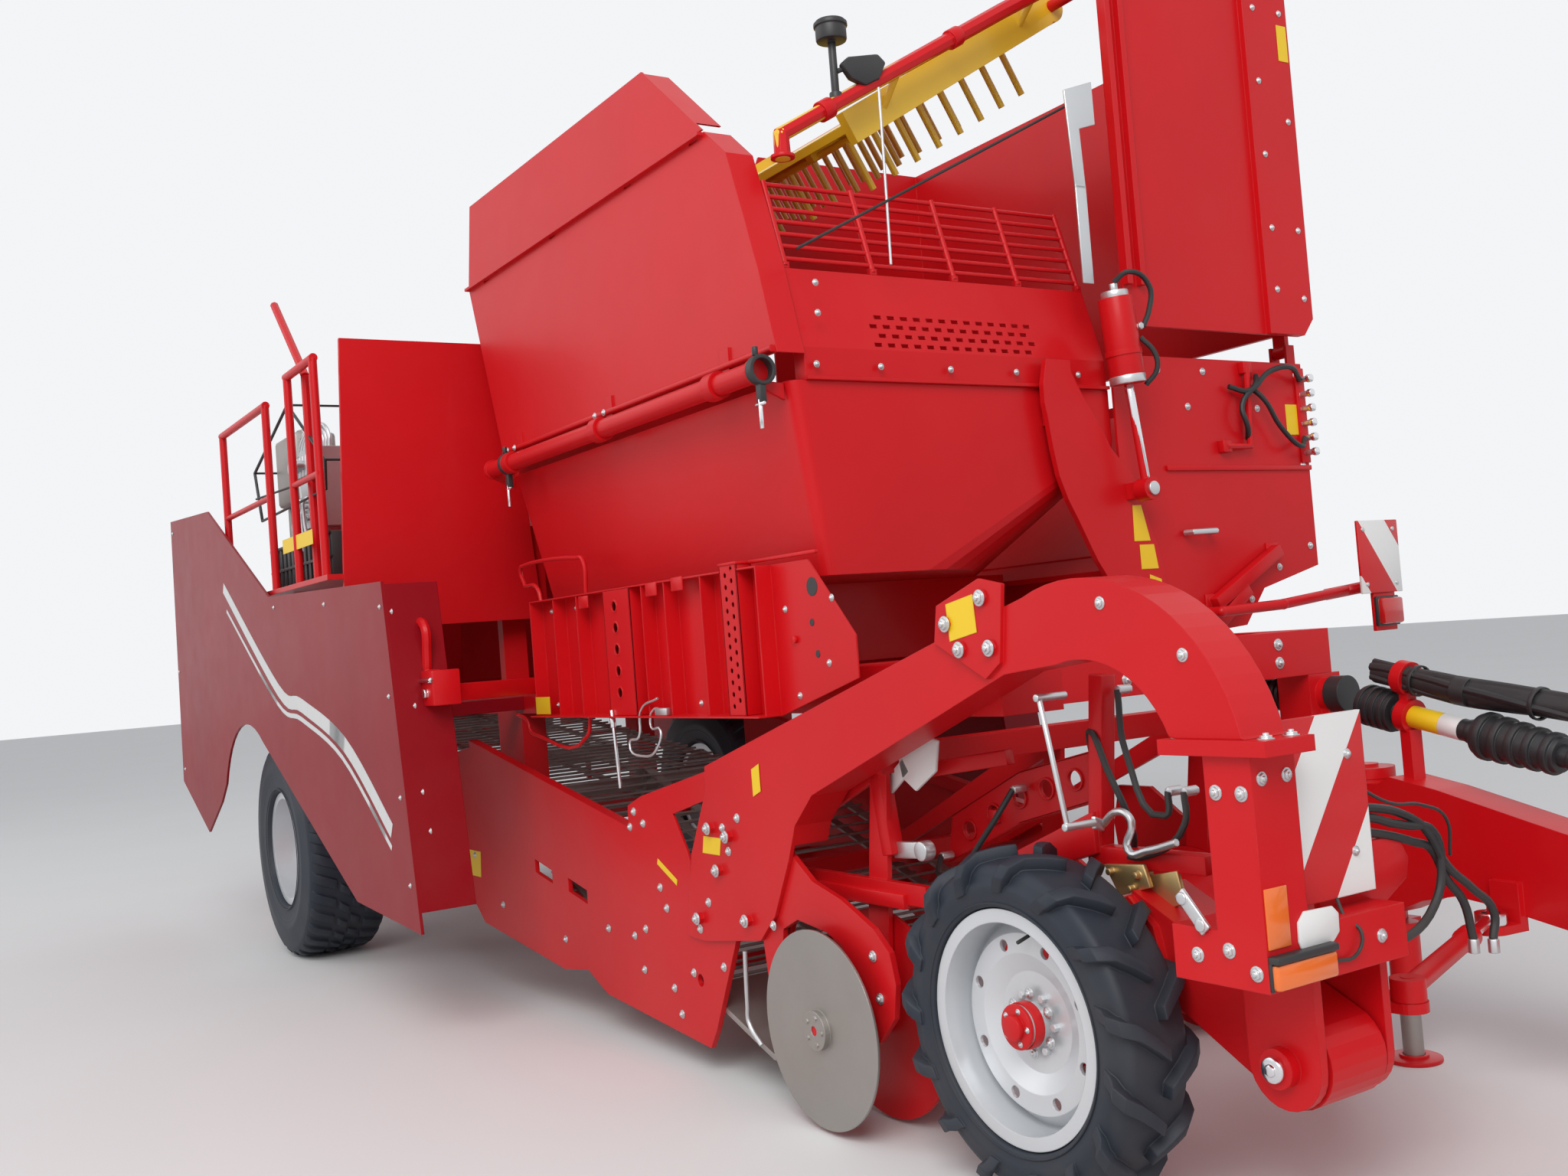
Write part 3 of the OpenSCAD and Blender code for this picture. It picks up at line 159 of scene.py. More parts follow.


# Edge mask: the colour it mixes in is partly edge wear and partly painted highlight along the edges
def buildEdgeWearAndHighlight(form=edgeWearHighlightForm):  # how near a sharp edge is, broken up by noise
    inputs = {"Radius": form["radius"], "Amount": form["amount"]}
    outputs = {"Mask": "NodeSocketFloat", "Normal": "NodeSocketVector"}
    group, source, sink = newGroup("edgeWearAndHighlight", inputs, outputs)
    bevel = addNode(group, "ShaderNodeBevel", samples=4)
    geometry = addNode(group, "ShaderNodeNewGeometry")
    dot = addNode(group, "ShaderNodeVectorMath", operation="DOT_PRODUCT")
    group.links.new(source.outputs["Radius"], bevel.inputs["Radius"])
    group.links.new(bevel.outputs["Normal"], dot.inputs[0])
    group.links.new(geometry.outputs["Normal"], dot.inputs[1])
    edge = rangeNode(group, dot.outputs["Value"], form["flat"], form["sharp"])
    patches = rangeNode(group, addNoise(group, form["patchScale"]).outputs["Fac"], *form["patches"])
    group.links.new(product(group, edge, patches, source.outputs["Amount"]), sink.inputs["Mask"])
    group.links.new(bevel.outputs["Normal"], sink.inputs["Normal"])
    return group


def buildDust(form=dustForm):  # thin dust in patches, thicker towards the ground
    inputs = {"Amount": form["amount"], "Scale": form["scale"]}
    group, source, sink = newGroup("dustFilm", inputs, {"Mask": "NodeSocketFloat"})
    low = rangeNode(group, objectAxes(group)["Z"], form["top"], 0.0, form["topShare"], 1.0)
    noise = addNoise(group, form["scale"], 6, 0.5)
    group.links.new(source.outputs["Scale"], noise.inputs["Scale"])
    patches = rangeNode(group, noise.outputs["Fac"], *form["patches"])
    group.links.new(product(group, low, patches, source.outputs["Amount"]), sink.inputs["Mask"])
    return group


def buildTone(form=toneForm):  # slow change of tone over a surface, as paint and weather leave it
    inputs = {"Color": form["color"], "Spread": form["spread"], "Scale": form["scale"]}
    group, source, sink = newGroup("toneDrift", inputs, {"Color": "NodeSocketColor"})
    noise = addNoise(group, form["scale"], 3.0)
    group.links.new(source.outputs["Scale"], noise.inputs["Scale"])
    centred = mathNode(group, "SUBTRACT", noise.outputs["Fac"], 0.5)
    value = mathNode(group, "ADD", product(group, centred, source.outputs["Spread"], 2.0), 1.0)
    adjust = addNode(group, "ShaderNodeHueSaturation")
    group.links.new(source.outputs["Color"], adjust.inputs["Color"])
    group.links.new(value, adjust.inputs["Value"])
    group.links.new(adjust.outputs["Color"], sink.inputs["Color"])
    return group


def buildGrain():  # height of a fine surface grain
    group, source, sink = newGroup("surfaceGrain", {"Scale": grainScale}, {"Height": "NodeSocketFloat"})
    noise = addNoise(group, grainScale, 2.0)
    group.links.new(source.outputs["Scale"], noise.inputs["Scale"])
    group.links.new(noise.outputs["Fac"], sink.inputs["Height"])
    return group


groups = {"edgeWearAndHighlight": buildEdgeWearAndHighlight(), "dustFilm": buildDust(), "toneDrift": buildTone(),
          "surfaceGrain": buildGrain()}


def placeGroup(tree, name, **values):
    node = addNode(tree, "ShaderNodeGroup", node_tree=groups[name])
    for key, value in values.items():
        node.inputs[key].default_value = value
    return node


# One row per finish, with what the years left on it and, in its edge colour, a painted edge highlight; a
# slot's first row dresses the CAD nodes in that slot
finishColumns = ("slot", "color", "rough", "metal", "coat", "gloss", "wearAndHighlight", "wearAndHighlightColor", "dust", "grain",
                 "grainHeight", "spread")
finishRows = {
    "redPaint": ("red_paint", (0.60, 0.005, 0.009), 0.34, 0, 0.06, 0.24,
                 0.35, (0.72, 0.12, 0.11), 0.05, 260, 0.0004, 0.10),
    # red paint darkened for the covers: the darker colour is painted shade on their side faces
    "shadedCoverPaint": ("red_paint", (0.27, 0.004, 0.010), 0.30, 0, 0, 0.14,
                   0.2, (0.5, 0.08, 0.08), 0.08, 120, 0.0004, 0.14),
    "yellowPaint": ("yellow_paint", (0.80, 0.50, 0.02), 0.36, 0, 0.3, 0.5,
                    0.5, (0.55, 0.42, 0.2), 0.06, 240, 0.0004, 0.12),
    "whitePaint": ("white_paint", (0.80, 0.80, 0.78), 0.35, 0, 0.2, 0.5,
                   0.3, (0.5, 0.48, 0.45), 0.12, 200, 0.0003, 0.06),
    "rimPaint": ("rim_paint", (0.66, 0.68, 0.70), 0.30, 0.35, 0.3, 0.5,
                 0.3, (0.45, 0.44, 0.42), 0.16, 220, 0.0004, 0.07),
    "wornSteel": ("steel", (0.36, 0.34, 0.32), 0.42, 0.8, 0, 0.5,
                  0.7, (0.62, 0.61, 0.6), 0.45, 90, 0.0010, 0.25),
    "zincSteel": ("steel", (0.62, 0.63, 0.64), 0.32, 0.9, 0, 0.5,
                  0.4, (0.8, 0.8, 0.8), 0.15, 140, 0.0004, 0.15),
    "goldZinc": ("steel", (0.60, 0.44, 0.20), 0.36, 0.85, 0, 0.5,
                 0.4, (0.75, 0.6, 0.35), 0.15, 140, 0.0004, 0.2),
    "chrome": ("chrome", (0.78, 0.78, 0.80), 0.10, 1.0, 0, 0.5,
               0.1, (0.9, 0.9, 0.9), 0.08, 60, 0.0002, 0.05),
    "hoseRubber": ("rubber", (0.017, 0.017, 0.019), 0.46, 0, 0, 0.5,
                   0.3, (0.06, 0.06, 0.06), 0.22, 320, 0.0006, 0.2),
    "beltRubber": ("rubber", (0.030, 0.028, 0.027), 0.70, 0, 0, 0.5,
                   0.3, (0.10, 0.09, 0.08), 0.5, 160, 0.0010, 0.2),
    "tyreRubber": ("tyre", (0.016, 0.022, 0.034), 0.50, 0, 0, 0.40,
                   0.4, (0.06, 0.065, 0.07), 0.10, 130, 0.0010, 0.25),
    "blackPlastic": ("black_plastic", (0.022, 0.022, 0.024), 0.40, 0, 0, 0.5,
                     0.3, (0.08, 0.08, 0.08), 0.12, 300, 0.0006, 0.15),
    "blankLabel": ("yellow_paint", (0.88, 0.58, 0.01), 0.42, 0, 0, 0.5,
                   0.2, (0.8, 0.7, 0.3), 0.10, 400, 0.0002, 0.05),
    "stripeFilm": ("white_paint", (0.70, 0.70, 0.69), 0.35, 0, 0, 0.5,
                   0.2, (0.55, 0.5, 0.5), 0.12, 500, 0.0003, 0.05),
    "amberLens": ("yellow_paint", (0.85, 0.16, 0.01), 0.18, 0, 0.8, 0.5,
                  0.1, (0.9, 0.4, 0.1), 0.08, 350, 0.0016, 0.1),
    "redLens": ("red_paint", (0.55, 0.01, 0.01), 0.15, 0, 0.8, 0.5,
                0.1, (0.8, 0.2, 0.2), 0.08, 350, 0.0016, 0.1),
    "mirrorGlass": ("chrome", (0.7, 0.72, 0.75), 0.04, 1.0, 0, 0.5,
                    0.0, (0.7, 0.7, 0.7), 0.1, 30, 0.0001, 0.03),
}
finishes = {name: dict(zip(finishColumns, row)) for name, row in finishRows.items()}
finishes["boardStripes"] = {**finishes["whitePaint"], "stripes": "right"}
finishes["leftStripes"] = {**finishes["whitePaint"], "stripes": "left"}
surface = {"edgeRadius": 0.004, "dustColor": (0.34, 0.27, 0.20), "dustRough": 0.5, "blotchScale": 7.0,
           "blotchDetail": 5.0, "blotchRough": 0.10, "coatRough": 0.12, "grainStrength": 0.25}
boardStripe = {"pitch": 0.44, "slope": {"right": -1.376, "left": 1.376},
               "start": {"right": 1.79, "left": 3.50}}


def diagonalStripes(tree, side, s=boardStripe):  # red share of a warning board, mirrored on the left-hand one
    axes = objectAxes(tree)
    along = mathNode(tree, "ADD", axes["Z"], mathNode(tree, "MULTIPLY", axes["Y"], s["slope"][side]))
    turns = mathNode(tree, "DIVIDE", mathNode(tree, "SUBTRACT", along, s["start"][side]), s["pitch"])
    positive = mathNode(tree, "ADD", turns, 40.0)
    return mathNode(tree, "LESS_THAN", mathNode(tree, "FRACT", positive, 0.0), 0.5)


def buildMaterial(name, finish, s=surface):
    material = bpy.data.materials.new(name)
    material.use_nodes = True
    tree = material.node_tree
    shader = next(n for n in tree.nodes if n.type == "BSDF_PRINCIPLED")
    tone = placeGroup(tree, "toneDrift", Color=(*finish["color"], 1), Spread=finish["spread"])
    base = tone.outputs["Color"]
    if "stripes" in finish:
        base = mixColor(tree, diagonalStripes(tree, finish["stripes"]), base, finishes["redPaint"]["color"])
    # edge colour: partly wear, partly painted highlight along the edges
    wearAndHighlight = placeGroup(tree, "edgeWearAndHighlight", Radius=s["edgeRadius"], Amount=finish["wearAndHighlight"])
    dust = placeGroup(tree, "dustFilm", Amount=finish["dust"]).outputs["Mask"]
    wornAndHighlighted = mixColor(tree, wearAndHighlight.outputs["Mask"], base, finish["wearAndHighlightColor"])
    tree.links.new(mixColor(tree, dust, wornAndHighlighted, s["dustColor"]), shader.inputs["Base Color"])
    roughness = mathNode(tree, "ADD", mathNode(tree, "MULTIPLY", dust, s["dustRough"]), finish["rough"])
    noise = addNoise(tree, s["blotchScale"], s["blotchDetail"])
    blotches = mathNode(tree, "MULTIPLY", noise.outputs["Fac"], s["blotchRough"])
    tree.links.new(mathNode(tree, "ADD", roughness, blotches), shader.inputs["Roughness"])
    shader.inputs["Metallic"].default_value = finish["metal"]
    shader.inputs["Coat Weight"].default_value = finish["coat"]
    shader.inputs["Coat Roughness"].default_value = s["coatRough"]
    shader.inputs["Specular IOR Level"].default_value = finish["gloss"]
    grain = placeGroup(tree, "surfaceGrain", Scale=finish["grain"])
    bump = addNode(tree, "ShaderNodeBump")
    bump.inputs["Strength"].default_value = s["grainStrength"]
    bump.inputs["Distance"].default_value = finish["grainHeight"]
    tree.links.new(grain.outputs["Height"], bump.inputs["Height"])
    tree.links.new(wearAndHighlight.outputs["Normal"], bump.inputs["Normal"])
    tree.links.new(bump.outputs["Normal"], shader.inputs["Normal"])
    return material


materials = {name: buildMaterial(name, finish) for name, finish in finishes.items()}
slotFinish = {finish["slot"]: name for name, finish in reversed(finishes.items())}
# both covers take the darkened red, which is painted shade
nodeFinish = {"warning_board": "boardStripes", "cover_right": "shadedCoverPaint", "cover_left": "shadedCoverPaint",
              "moving_floor": "beltRubber", "valve_block": "zincSteel", "intake_web": "wornSteel"}


def dressNodes():
    for part in frame["record"]["subparts"]:
        name = part["node"]
        mesh = nodes[name].data
        mesh.materials.clear()
        mesh.materials.append(materials[nodeFinish.get(name, slotFinish[part["material_slot"]])])


dressNodes()
print("finishes ready:", len(materials))

# Modelling steps that the pieces below share; a row holds an add function's values in its own order
bevelAngle = math.radians(38)
smoothAngle = math.radians(35)
boltForm = {"head": 0.62, "washer": 1.32, "washerDepth": 0.18, "stud": 0.5, "studHeight": 1.0}
facing = {"right": (0, -1, 0), "front": (1, 0, 0), "back": (-1, 0, 0), "up": (0, 0, 1)}


def clearSelection():
    if bpy.context.object and bpy.context.object.mode != "OBJECT":
        bpy.ops.object.mode_set(mode="OBJECT")
    bpy.ops.object.select_all(action="DESELECT")


def pick(obj):
    clearSelection()
    obj.select_set(True)
    bpy.context.view_layer.objects.active = obj


def applyModifier(obj, kind, **settings):
    pick(obj)
    modifier = obj.modifiers.new(kind.lower(), kind)
    for key, value in settings.items():
        setattr(modifier, key, value)
    bpy.ops.object.modifier_apply(modifier=modifier.name)
    return obj


def roundEdges(obj, width, segments=2):
    if width <= 0:
        return obj
    return applyModifier(obj, "BEVEL", width=width, segments=segments, limit_method="ANGLE",
                         angle_limit=bevelAngle)


def settle(obj):  # place, turn and scale go into the mesh
    pick(obj)
    bpy.ops.object.transform_apply(location=True, rotation=True, scale=True)
    return obj


def extrudeAll(push):
    bpy.ops.mesh.select_all(action="SELECT")
    bpy.ops.mesh.extrude_region_move(TRANSFORM_OT_translate={"value": tuple(push)})


def cleanMesh(obj, doubles=0.0, outwards=True):  # merges near vertices and turns the faces outwards
    pick(obj)
    bpy.ops.object.mode_set(mode="EDIT")
    bpy.ops.mesh.select_all(action="SELECT")
    if doubles:
        bpy.ops.mesh.remove_doubles(threshold=doubles)
    if outwards:
        bpy.ops.mesh.normals_make_consistent(inside=False)
    bpy.ops.object.mode_set(mode="OBJECT")
    return obj


def turnTo(axis):  # turns Z to the axis
    return Vector(axis).to_track_quat("Z", "Y").to_matrix().to_4x4()


def inXZ(y, points):
    return [(x, y, z) for x, z in points]


def inYZ(x, points):
    return [(x, y, z) for y, z in points]


def rectXZ(y, x0, x1, z0, z1):
    return inXZ(y, ((x0, z0), (x1, z0), (x1, z1), (x0, z1)))


def onFace(way, level, points):  # places on a face that looks one way
    if facing[way][0]:
        return inYZ(level, points)
    if facing[way][1]:
        return inXZ(level, points)
    return [(x, y, level) for x, y in points]


def ahead(x, point):  # a place whose X counts from a face at x
    return (x + point[0], *point[1:])


def addBlock(low, high, bevel=0.002):
    clearSelection()
    low, high = Vector(low), Vector(high)
    bpy.ops.mesh.primitive_cube_add(size=1, location=(low + high) / 2)
    obj = bpy.context.object
    obj.scale = high - low
    return roundEdges(settle(obj), bevel)


def addBlocks(rows, x=0.0):
    return [addBlock(ahead(x, low), ahead(x, high), bevel) for low, high, bevel in rows]


def lineMatrix(start, end):  # X runs from start to end, and Z stays as upright as it can
    axis = (Vector(end) - Vector(start)).normalized()
    side = Vector((0, 0, 1)).cross(axis)
    if side.length < 0.02:
        side = Vector((0, 1, 0))
    side.normalize()
    matrix = Matrix((axis, side, axis.cross(side))).transposed().to_4x4()
    matrix.translation = (Vector(start) + Vector(end)) / 2
    return matrix


def addBar(start, end, width, height, bevel=0.002):
    clearSelection()
    bpy.ops.mesh.primitive_cube_add(size=1)
    obj = bpy.context.object
    length = (Vector(end) - Vector(start)).length
    obj.matrix_world = lineMatrix(start, end) @ Matrix.Diagonal((length, width, height, 1))
    return roundEdges(settle(obj), bevel)


def addBars(rows):
    return [addBar(*row) for row in rows]


def addRod(start, end, radius, sides=20, bevel=0.0015, endRadius=None):
    clearSelection()
    start, end = Vector(start), Vector(end)
    length = (end - start).length
    if endRadius is None:
        bpy.ops.mesh.primitive_cylinder_add(vertices=sides, radius=radius, depth=length)
    else:
        bpy.ops.mesh.primitive_cone_add(vertices=sides, radius1=radius, radius2=endRadius, depth=length)
    obj = bpy.context.object
    obj.matrix_world = Matrix.Translation((start + end) / 2) @ turnTo(end - start)
    return roundEdges(settle(obj), bevel)


def addRods(rows, x=0.0):
    return [addRod(ahead(x, start), ahead(x, end), *form) for start, end, *form in rows]


def addTube(points, radius, curved=True, steps=5):  # bent round tube or hose through its points
    clearSelection()
    bpy.ops.curve.primitive_bezier_curve_add()
    obj = bpy.context.object
    curve = obj.data
    curve.splines.clear()
    spline = curve.splines.new("BEZIER" if curved else "POLY")
    knots = spline.bezier_points if curved else spline.points
    knots.add(len(points) - 1)
    for knot, point in zip(knots, points):
        if curved:
            knot.co = point
            knot.handle_left_type = knot.handle_right_type = "AUTO"
        else:
            knot.co = (*point, 1)
    curve.dimensions = "3D"
    curve.bevel_depth = radius
    curve.bevel_resolution = 2
    curve.resolution_u = steps
    curve.use_fill_caps = True
    obj.location = (0, 0, 0)
    pick(obj)
    bpy.ops.object.convert(target="MESH")
    return bpy.context.object


def addTubes(lines, radius, x=0.0, curved=True):
    return [addTube([ahead(x, point) for point in points], radius, curved) for points in lines]


def addPlate(corners, push, bevel=0.002):  # flat plate: its corners on one face, pushed out to its thickness
    clearSelection()
    bpy.ops.mesh.primitive_circle_add(vertices=len(corners), fill_type="NGON")
    obj = bpy.context.object
    for vertex, corner in zip(obj.data.vertices, corners):
        vertex.co = corner
    bpy.ops.object.mode_set(mode="EDIT")
    extrudeAll(push)
    return roundEdges(settle(cleanMesh(obj)), bevel)


def addRing(center, axis, outer, inner, depth, sides=32, bevel=0.0015):  # flat ring or washer
    clearSelection()
    bpy.ops.mesh.primitive_circle_add(vertices=sides, radius=outer)
    obj = bpy.context.object
    bpy.ops.object.mode_set(mode="EDIT")
    bpy.ops.mesh.select_all(action="SELECT")
    bpy.ops.mesh.extrude_edges_move()
    share = inner / outer
    bpy.ops.transform.resize(value=(share, share, share))
    extrudeAll((0, 0, depth))
    cleanMesh(obj)
    toMiddle = Matrix.Translation((0, 0, -depth / 2))
    obj.matrix_world = Matrix.Translation(Vector(center)) @ turnTo(axis) @ toMiddle
    return roundEdges(settle(obj), bevel)


def cutHoles(plate, centers, radius, sides=20):  # round holes through a plate that stands across Y
    through = Vector((0, 0.05, 0))
    tool = mergeParts([addRod(Vector(c) - through, Vector(c) + through, radius, sides, 0) for c in centers])
    applyModifier(plate, "BOOLEAN", operation="DIFFERENCE", object=tool, solver="EXACT")
    bpy.data.objects.remove(tool)
    return plate


def copyTo(template, matrices):  # copies with meshes of their own
    copies = []
    for matrix in matrices:
        copy = template.copy()
        copy.data = template.data.copy()
        copy.data.transform(matrix)
        bpy.context.scene.collection.objects.link(copy)
        copies.append(copy)
    return copies


def mergeParts(parts):
    clearSelection()
    for part in parts:
        part.select_set(True)
    bpy.context.view_layer.objects.active = parts[0]
    if len(parts) > 1:
        bpy.ops.object.join()
    return settle(bpy.context.object)


def finishPiece(name, parts, body="chassis"):  # parts: {finish: [objects]}; the first finish's slot is looked up but not used
    merged = []
    for finish, objects in parts.items():
        obj = mergeParts(objects)
        obj.data.materials.clear()
        obj.data.materials.append(materials[finish])
        merged.append(obj)
    obj = mergeParts(merged)
    obj.name = name
    obj.data.name = name
    bpy.ops.object.shade_smooth_by_angle(angle=smoothAngle)
    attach(obj, body)
    finishes[next(iter(parts))]["slot"]
    return obj


def buildBolt(form=boltForm):  # unit bolt: hexagon one across its corners' radius, along Z
    head = addRod((0, 0, 0), (0, 0, form["head"]), 1, 6, 0.07)
    washer = addRod((0, 0, 0), (0, 0, form["washerDepth"]), form["washer"], 16, 0)
    stud = addRod((0, 0, 0), (0, 0, form["studHeight"]), form["stud"], 8, 0.08)
    return mergeParts([head, washer, stud])


boltTemplate = buildBolt()
boltTemplate.name = "boltPattern"


def addBolts(places, axis, size=0.013):  # places along one axis direction
    matrices = [Matrix.Translation(Vector(p)) @ turnTo(axis) @ Matrix.Scale(size, 4) for p in places]
    return copyTo(boltTemplate, matrices)


# Tyres: a spun carcass with lugs or tread blocks bent round its crown, and raised lines on its sidewalls
tyreShape = {
    "crown": ((0, 0), (-0.001, 0.40), (-0.005, 0.68)),  # below the crown, share of the half width
    "shoulderDepth": 0.042, "shoulderWide": 0.26, "shoulderSteps": 5,
    "wall": ((0.012, 0.985), (0, 1), (-0.018, 0.985)),  # from the sidewall's middle
    "bead": ((0.034, 0.93), (0.028, 0.94), (0.020, 0.90), (0.016, 0.76), (0.0006, 0.76)),  # above the bead
    "sides": 96, "lineLift": 0.002,
}
blockShape = {"root": -0.010, "topShare": 0.80, "rampFrom": 0.72, "rampDrop": 0.75, "edge": 0.12}
frontTyre = {
    "x": 2.21, "y": 0.9, "outer": 0.460, "bead": 0.292, "half": 0.115, "height": 0.032, "count": 15,
    "blocks": ((0.0, 0.1633, 0.040, 0.125, 0.0),),  # start, end, width, sweep, shift round the tyre
    "taper": 0.35, "cuts": 7, "chevron": True, "lines": (0.030, 0.052), "lineSide": 0.95, "lineWide": 0.003,
}
rearTyre = {
    "x": -3.15, "y": 1.3, "outer": 0.586, "bead": 0.290, "half": 0.220, "height": 0.014, "count": 34,
    "blocks": ((0.006, 0.062, 0.052, 0.035, 0.0), (0.078, 0.200, 0.060, 0.050, 0.5)),
    "taper": 0.05, "cuts": 4, "chevron": False, "lines": (0.035, 0.10, 0.115), "lineSide": 0.965,
    "lineWide": 0.004,
}


def wheelCenter(t, side):
    return (t["x"], side * t["y"], t["outer"])


def tyreSection(t, s=tyreShape):  # outer half of the section: (radius, side) from crown to bead
    half, bead = t["half"], t["bead"]
    crown = t["outer"] - t["height"]
    points = [(crown + drop, half * share) for drop, share in s["crown"]]
    edge, share = points[-1][0], s["crown"][-1][1]
    for step in range(1, s["shoulderSteps"] + 1):
        turn = math.pi / 2 * step / s["shoulderSteps"]
        points.append((edge - s["shoulderDepth"] * (1 - math.cos(turn)),
                       half * (share + s["shoulderWide"] * math.sin(turn))))
    points += [((bead + crown) / 2 + up, half * share) for up, share in s["wall"]]
    return points + [(bead + up, half * share) for up, share in s["bead"]]


def spinCarcass(center, section, sides=tyreShape["sides"]):
    outline = [(r, -s) for r, s in reversed(section[1:])] + section
    clearSelection()
    bpy.ops.mesh.primitive_circle_add(vertices=len(outline), fill_type="NOTHING")
    obj = bpy.context.object
    for vertex, (radius, side) in zip(obj.data.vertices, outline):
        vertex.co = (radius, side, 0)
    bpy.ops.object.mode_set(mode="EDIT")
    bpy.ops.mesh.select_all(action="SELECT")
    bpy.ops.mesh.spin(steps=sides, angle=math.tau, center=(0, 0, 0), axis=(0, 1, 0))
    cleanMesh(obj, 0.00005)
    obj.location = center
    return settle(obj)


def sectionPoint(path, distance):  # place and outward direction at a distance along the section
    walked = 0
    for first, second in zip(path, path[1:]):
        step = math.dist(first, second)
        if walked + step >= distance or second is path[-1]:
            share = min((distance - walked) / step, 1.0)
            radius = first[0] + (second[0] - first[0]) * share
            side = first[1] + (second[1] - first[1]) * share
            return radius, side, (second[1] - first[1]) / step, -(second[0] - first[0]) / step
        walked += step


def addSlicedCube(cuts):  # unit cube with its long edges cut
    clearSelection()
    bpy.ops.mesh.primitive_cube_add(size=1)
    obj = bpy.context.object
    bpy.ops.object.mode_set(mode="EDIT")
    bpy.ops.mesh.select_mode(type="EDGE")
    bpy.ops.mesh.select_all(action="DESELECT")
    bpy.ops.object.mode_set(mode="OBJECT")
    for edge in obj.data.edges:
        a, b = (obj.data.vertices[i].co for i in edge.vertices)
        edge.select = abs(a.x - b.x) > 0.5
    bpy.ops.object.mode_set(mode="EDIT")
    bpy.ops.mesh.subdivide(number_cuts=cuts)
    bpy.ops.mesh.select_mode(type="VERT")
    bpy.ops.object.mode_set(mode="OBJECT")
    return obj


def bendBlock(path, block, t, flip, way, b=blockShape):  # one lug or tread block, swept round the tyre
    start, end, wide, sweep, _ = block
    obj = addSlicedCube(t["cuts"])
    for vertex in obj.data.vertices:
        along = vertex.co.x + 0.5
        radius, side, outRadius, outSide = sectionPoint(path, start + (end - start) * along)
        top = vertex.co.z > 0
        ramp = max(0.0, along - b["rampFrom"]) / (1 - b["rampFrom"])
        lift = t["height"] * (1 - b["rampDrop"] * ramp) if top else b["root"]
        spread = wide * (b["topShare"] if top else 1.0) * (1 + t["taper"] * along)
        angle = (vertex.co.y * spread + sweep * way * along) / path[0][0]
        radius += outRadius * lift
        vertex.co = (radius * math.cos(angle), (side + outSide * lift) * flip, radius * math.sin(angle))
    return roundEdges(cleanMesh(obj), min(t["height"], wide) * b["edge"])


def ringOfBlocks(block, count, center, shift):
    turns = [Matrix.Translation(Vector(center)) @ Matrix.Rotation(math.tau * (i + shift) / count, 4, "Y")
             for i in range(count)]
    copies = copyTo(block, turns)
    bpy.data.objects.remove(block)
    return copies


def addSideLine(center, side, radius, width):
    clearSelection()
    bpy.ops.mesh.primitive_torus_add(major_radius=radius, minor_radius=width, major_segments=72,
                                     minor_segments=6)
    obj = bpy.context.object
    middle = Vector(center) + Vector((0, side, 0))
    obj.matrix_world = Matrix.Translation(middle) @ Matrix.Rotation(math.pi / 2, 4, "X")
    obj.scale = (1, 1, tyreShape["lineLift"] / width)
    return settle(obj)


def buildTyre(name, body, node, side, t):
    center = wheelCenter(t, side)
    path = tyreSection(t)
    parts = [spinCarcass(center, path)]
    for flip in (-1, 1):
        for block in t["blocks"]:
            bent = bendBlock(path, block, t, flip, 1 if t["chevron"] else flip * side)
            parts += ringOfBlocks(bent, t["count"], center, block[-1] + (0.5 if flip > 0 else 0.0))
        for up in t["lines"]:
            parts.append(addSideLine(center, flip * t["half"] * t["lineSide"], t["bead"] + up, t["lineWide"]))
    piece = finishPiece(name, {"tyreRubber": parts}, body)
    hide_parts(node)


buildTyre("frontTyreWithLugs", "wheel_front", "tyre_front", -1, frontTyre)
for side, word in ((-1, "right"), (1, "left")):
    buildTyre("rearTyreTread_" + word, "wheel_rear_" + word, "tyre_rear_" + word, side, rearTyre)
print("tyres ready")

# Right-hand guard: strip with five holes, perforated upright and the loops above and below it
guard = {
    "face": -0.966, "wall": -0.908, "sheet": 0.004, "lip": 0.005,
    "strip": (-0.065, 0.160, 1.262, 1.743), "holeX": 0.030, "holeRadius": 0.019,
    "holeHeights": (1.681, 1.598, 1.515, 1.432, 1.349), "rim": 0.006,
    "upright": (0.850, 0.960, 1.262, 1.765), "smallColumns": ((0.885, 1.292), (0.925, 1.312)),
    "smallRadius": 0.009, "smallPitch": 0.040, "smallCount": 12,
    "cap": ((0.844, -0.974, 1.765), (0.966, -0.898, 1.775), 0.003),
    # back: black sheet on the wall behind the upright, painted shade seen through its holes
    "back": ((0.856, -0.910, 1.272), (0.954, -0.906, 1.755), 0),
    "topLoops": (((-0.98, -0.905, 1.83), (-0.985, -0.92, 1.905), (-0.94, -0.92, 1.918), (-0.40, -0.92, 1.905),
                  (-0.33, -0.92, 1.89), (-0.33, -0.915, 1.755)),
                 ((-0.98, -0.905, 1.83), (-0.80, -0.92, 1.80), (-0.78, -0.92, 1.748))), "topRadius": 0.009,
    "lowLoop": (((-1.090, -0.94, 1.262), (-0.945, -0.95, 1.227), (-0.932, -0.95, 1.198),
                 (-0.845, -0.95, 1.172), (-0.335, -0.95, 1.180), (-0.320, -0.94, 1.262)),),
    "lowRadius": 0.008, "studs": ((1.02, 1.70), (1.02, 1.32), (1.20, 1.50)), "studSize": 0.012,
    "ledge": ((0.96, -0.920, 1.764), (1.36, -0.904, 1.776), 0.003),
    "hooks": ((-0.29, 1.690), (0.30, 1.700), (0.50, 1.705)), "hookSize": (0.085, 0.05),
}
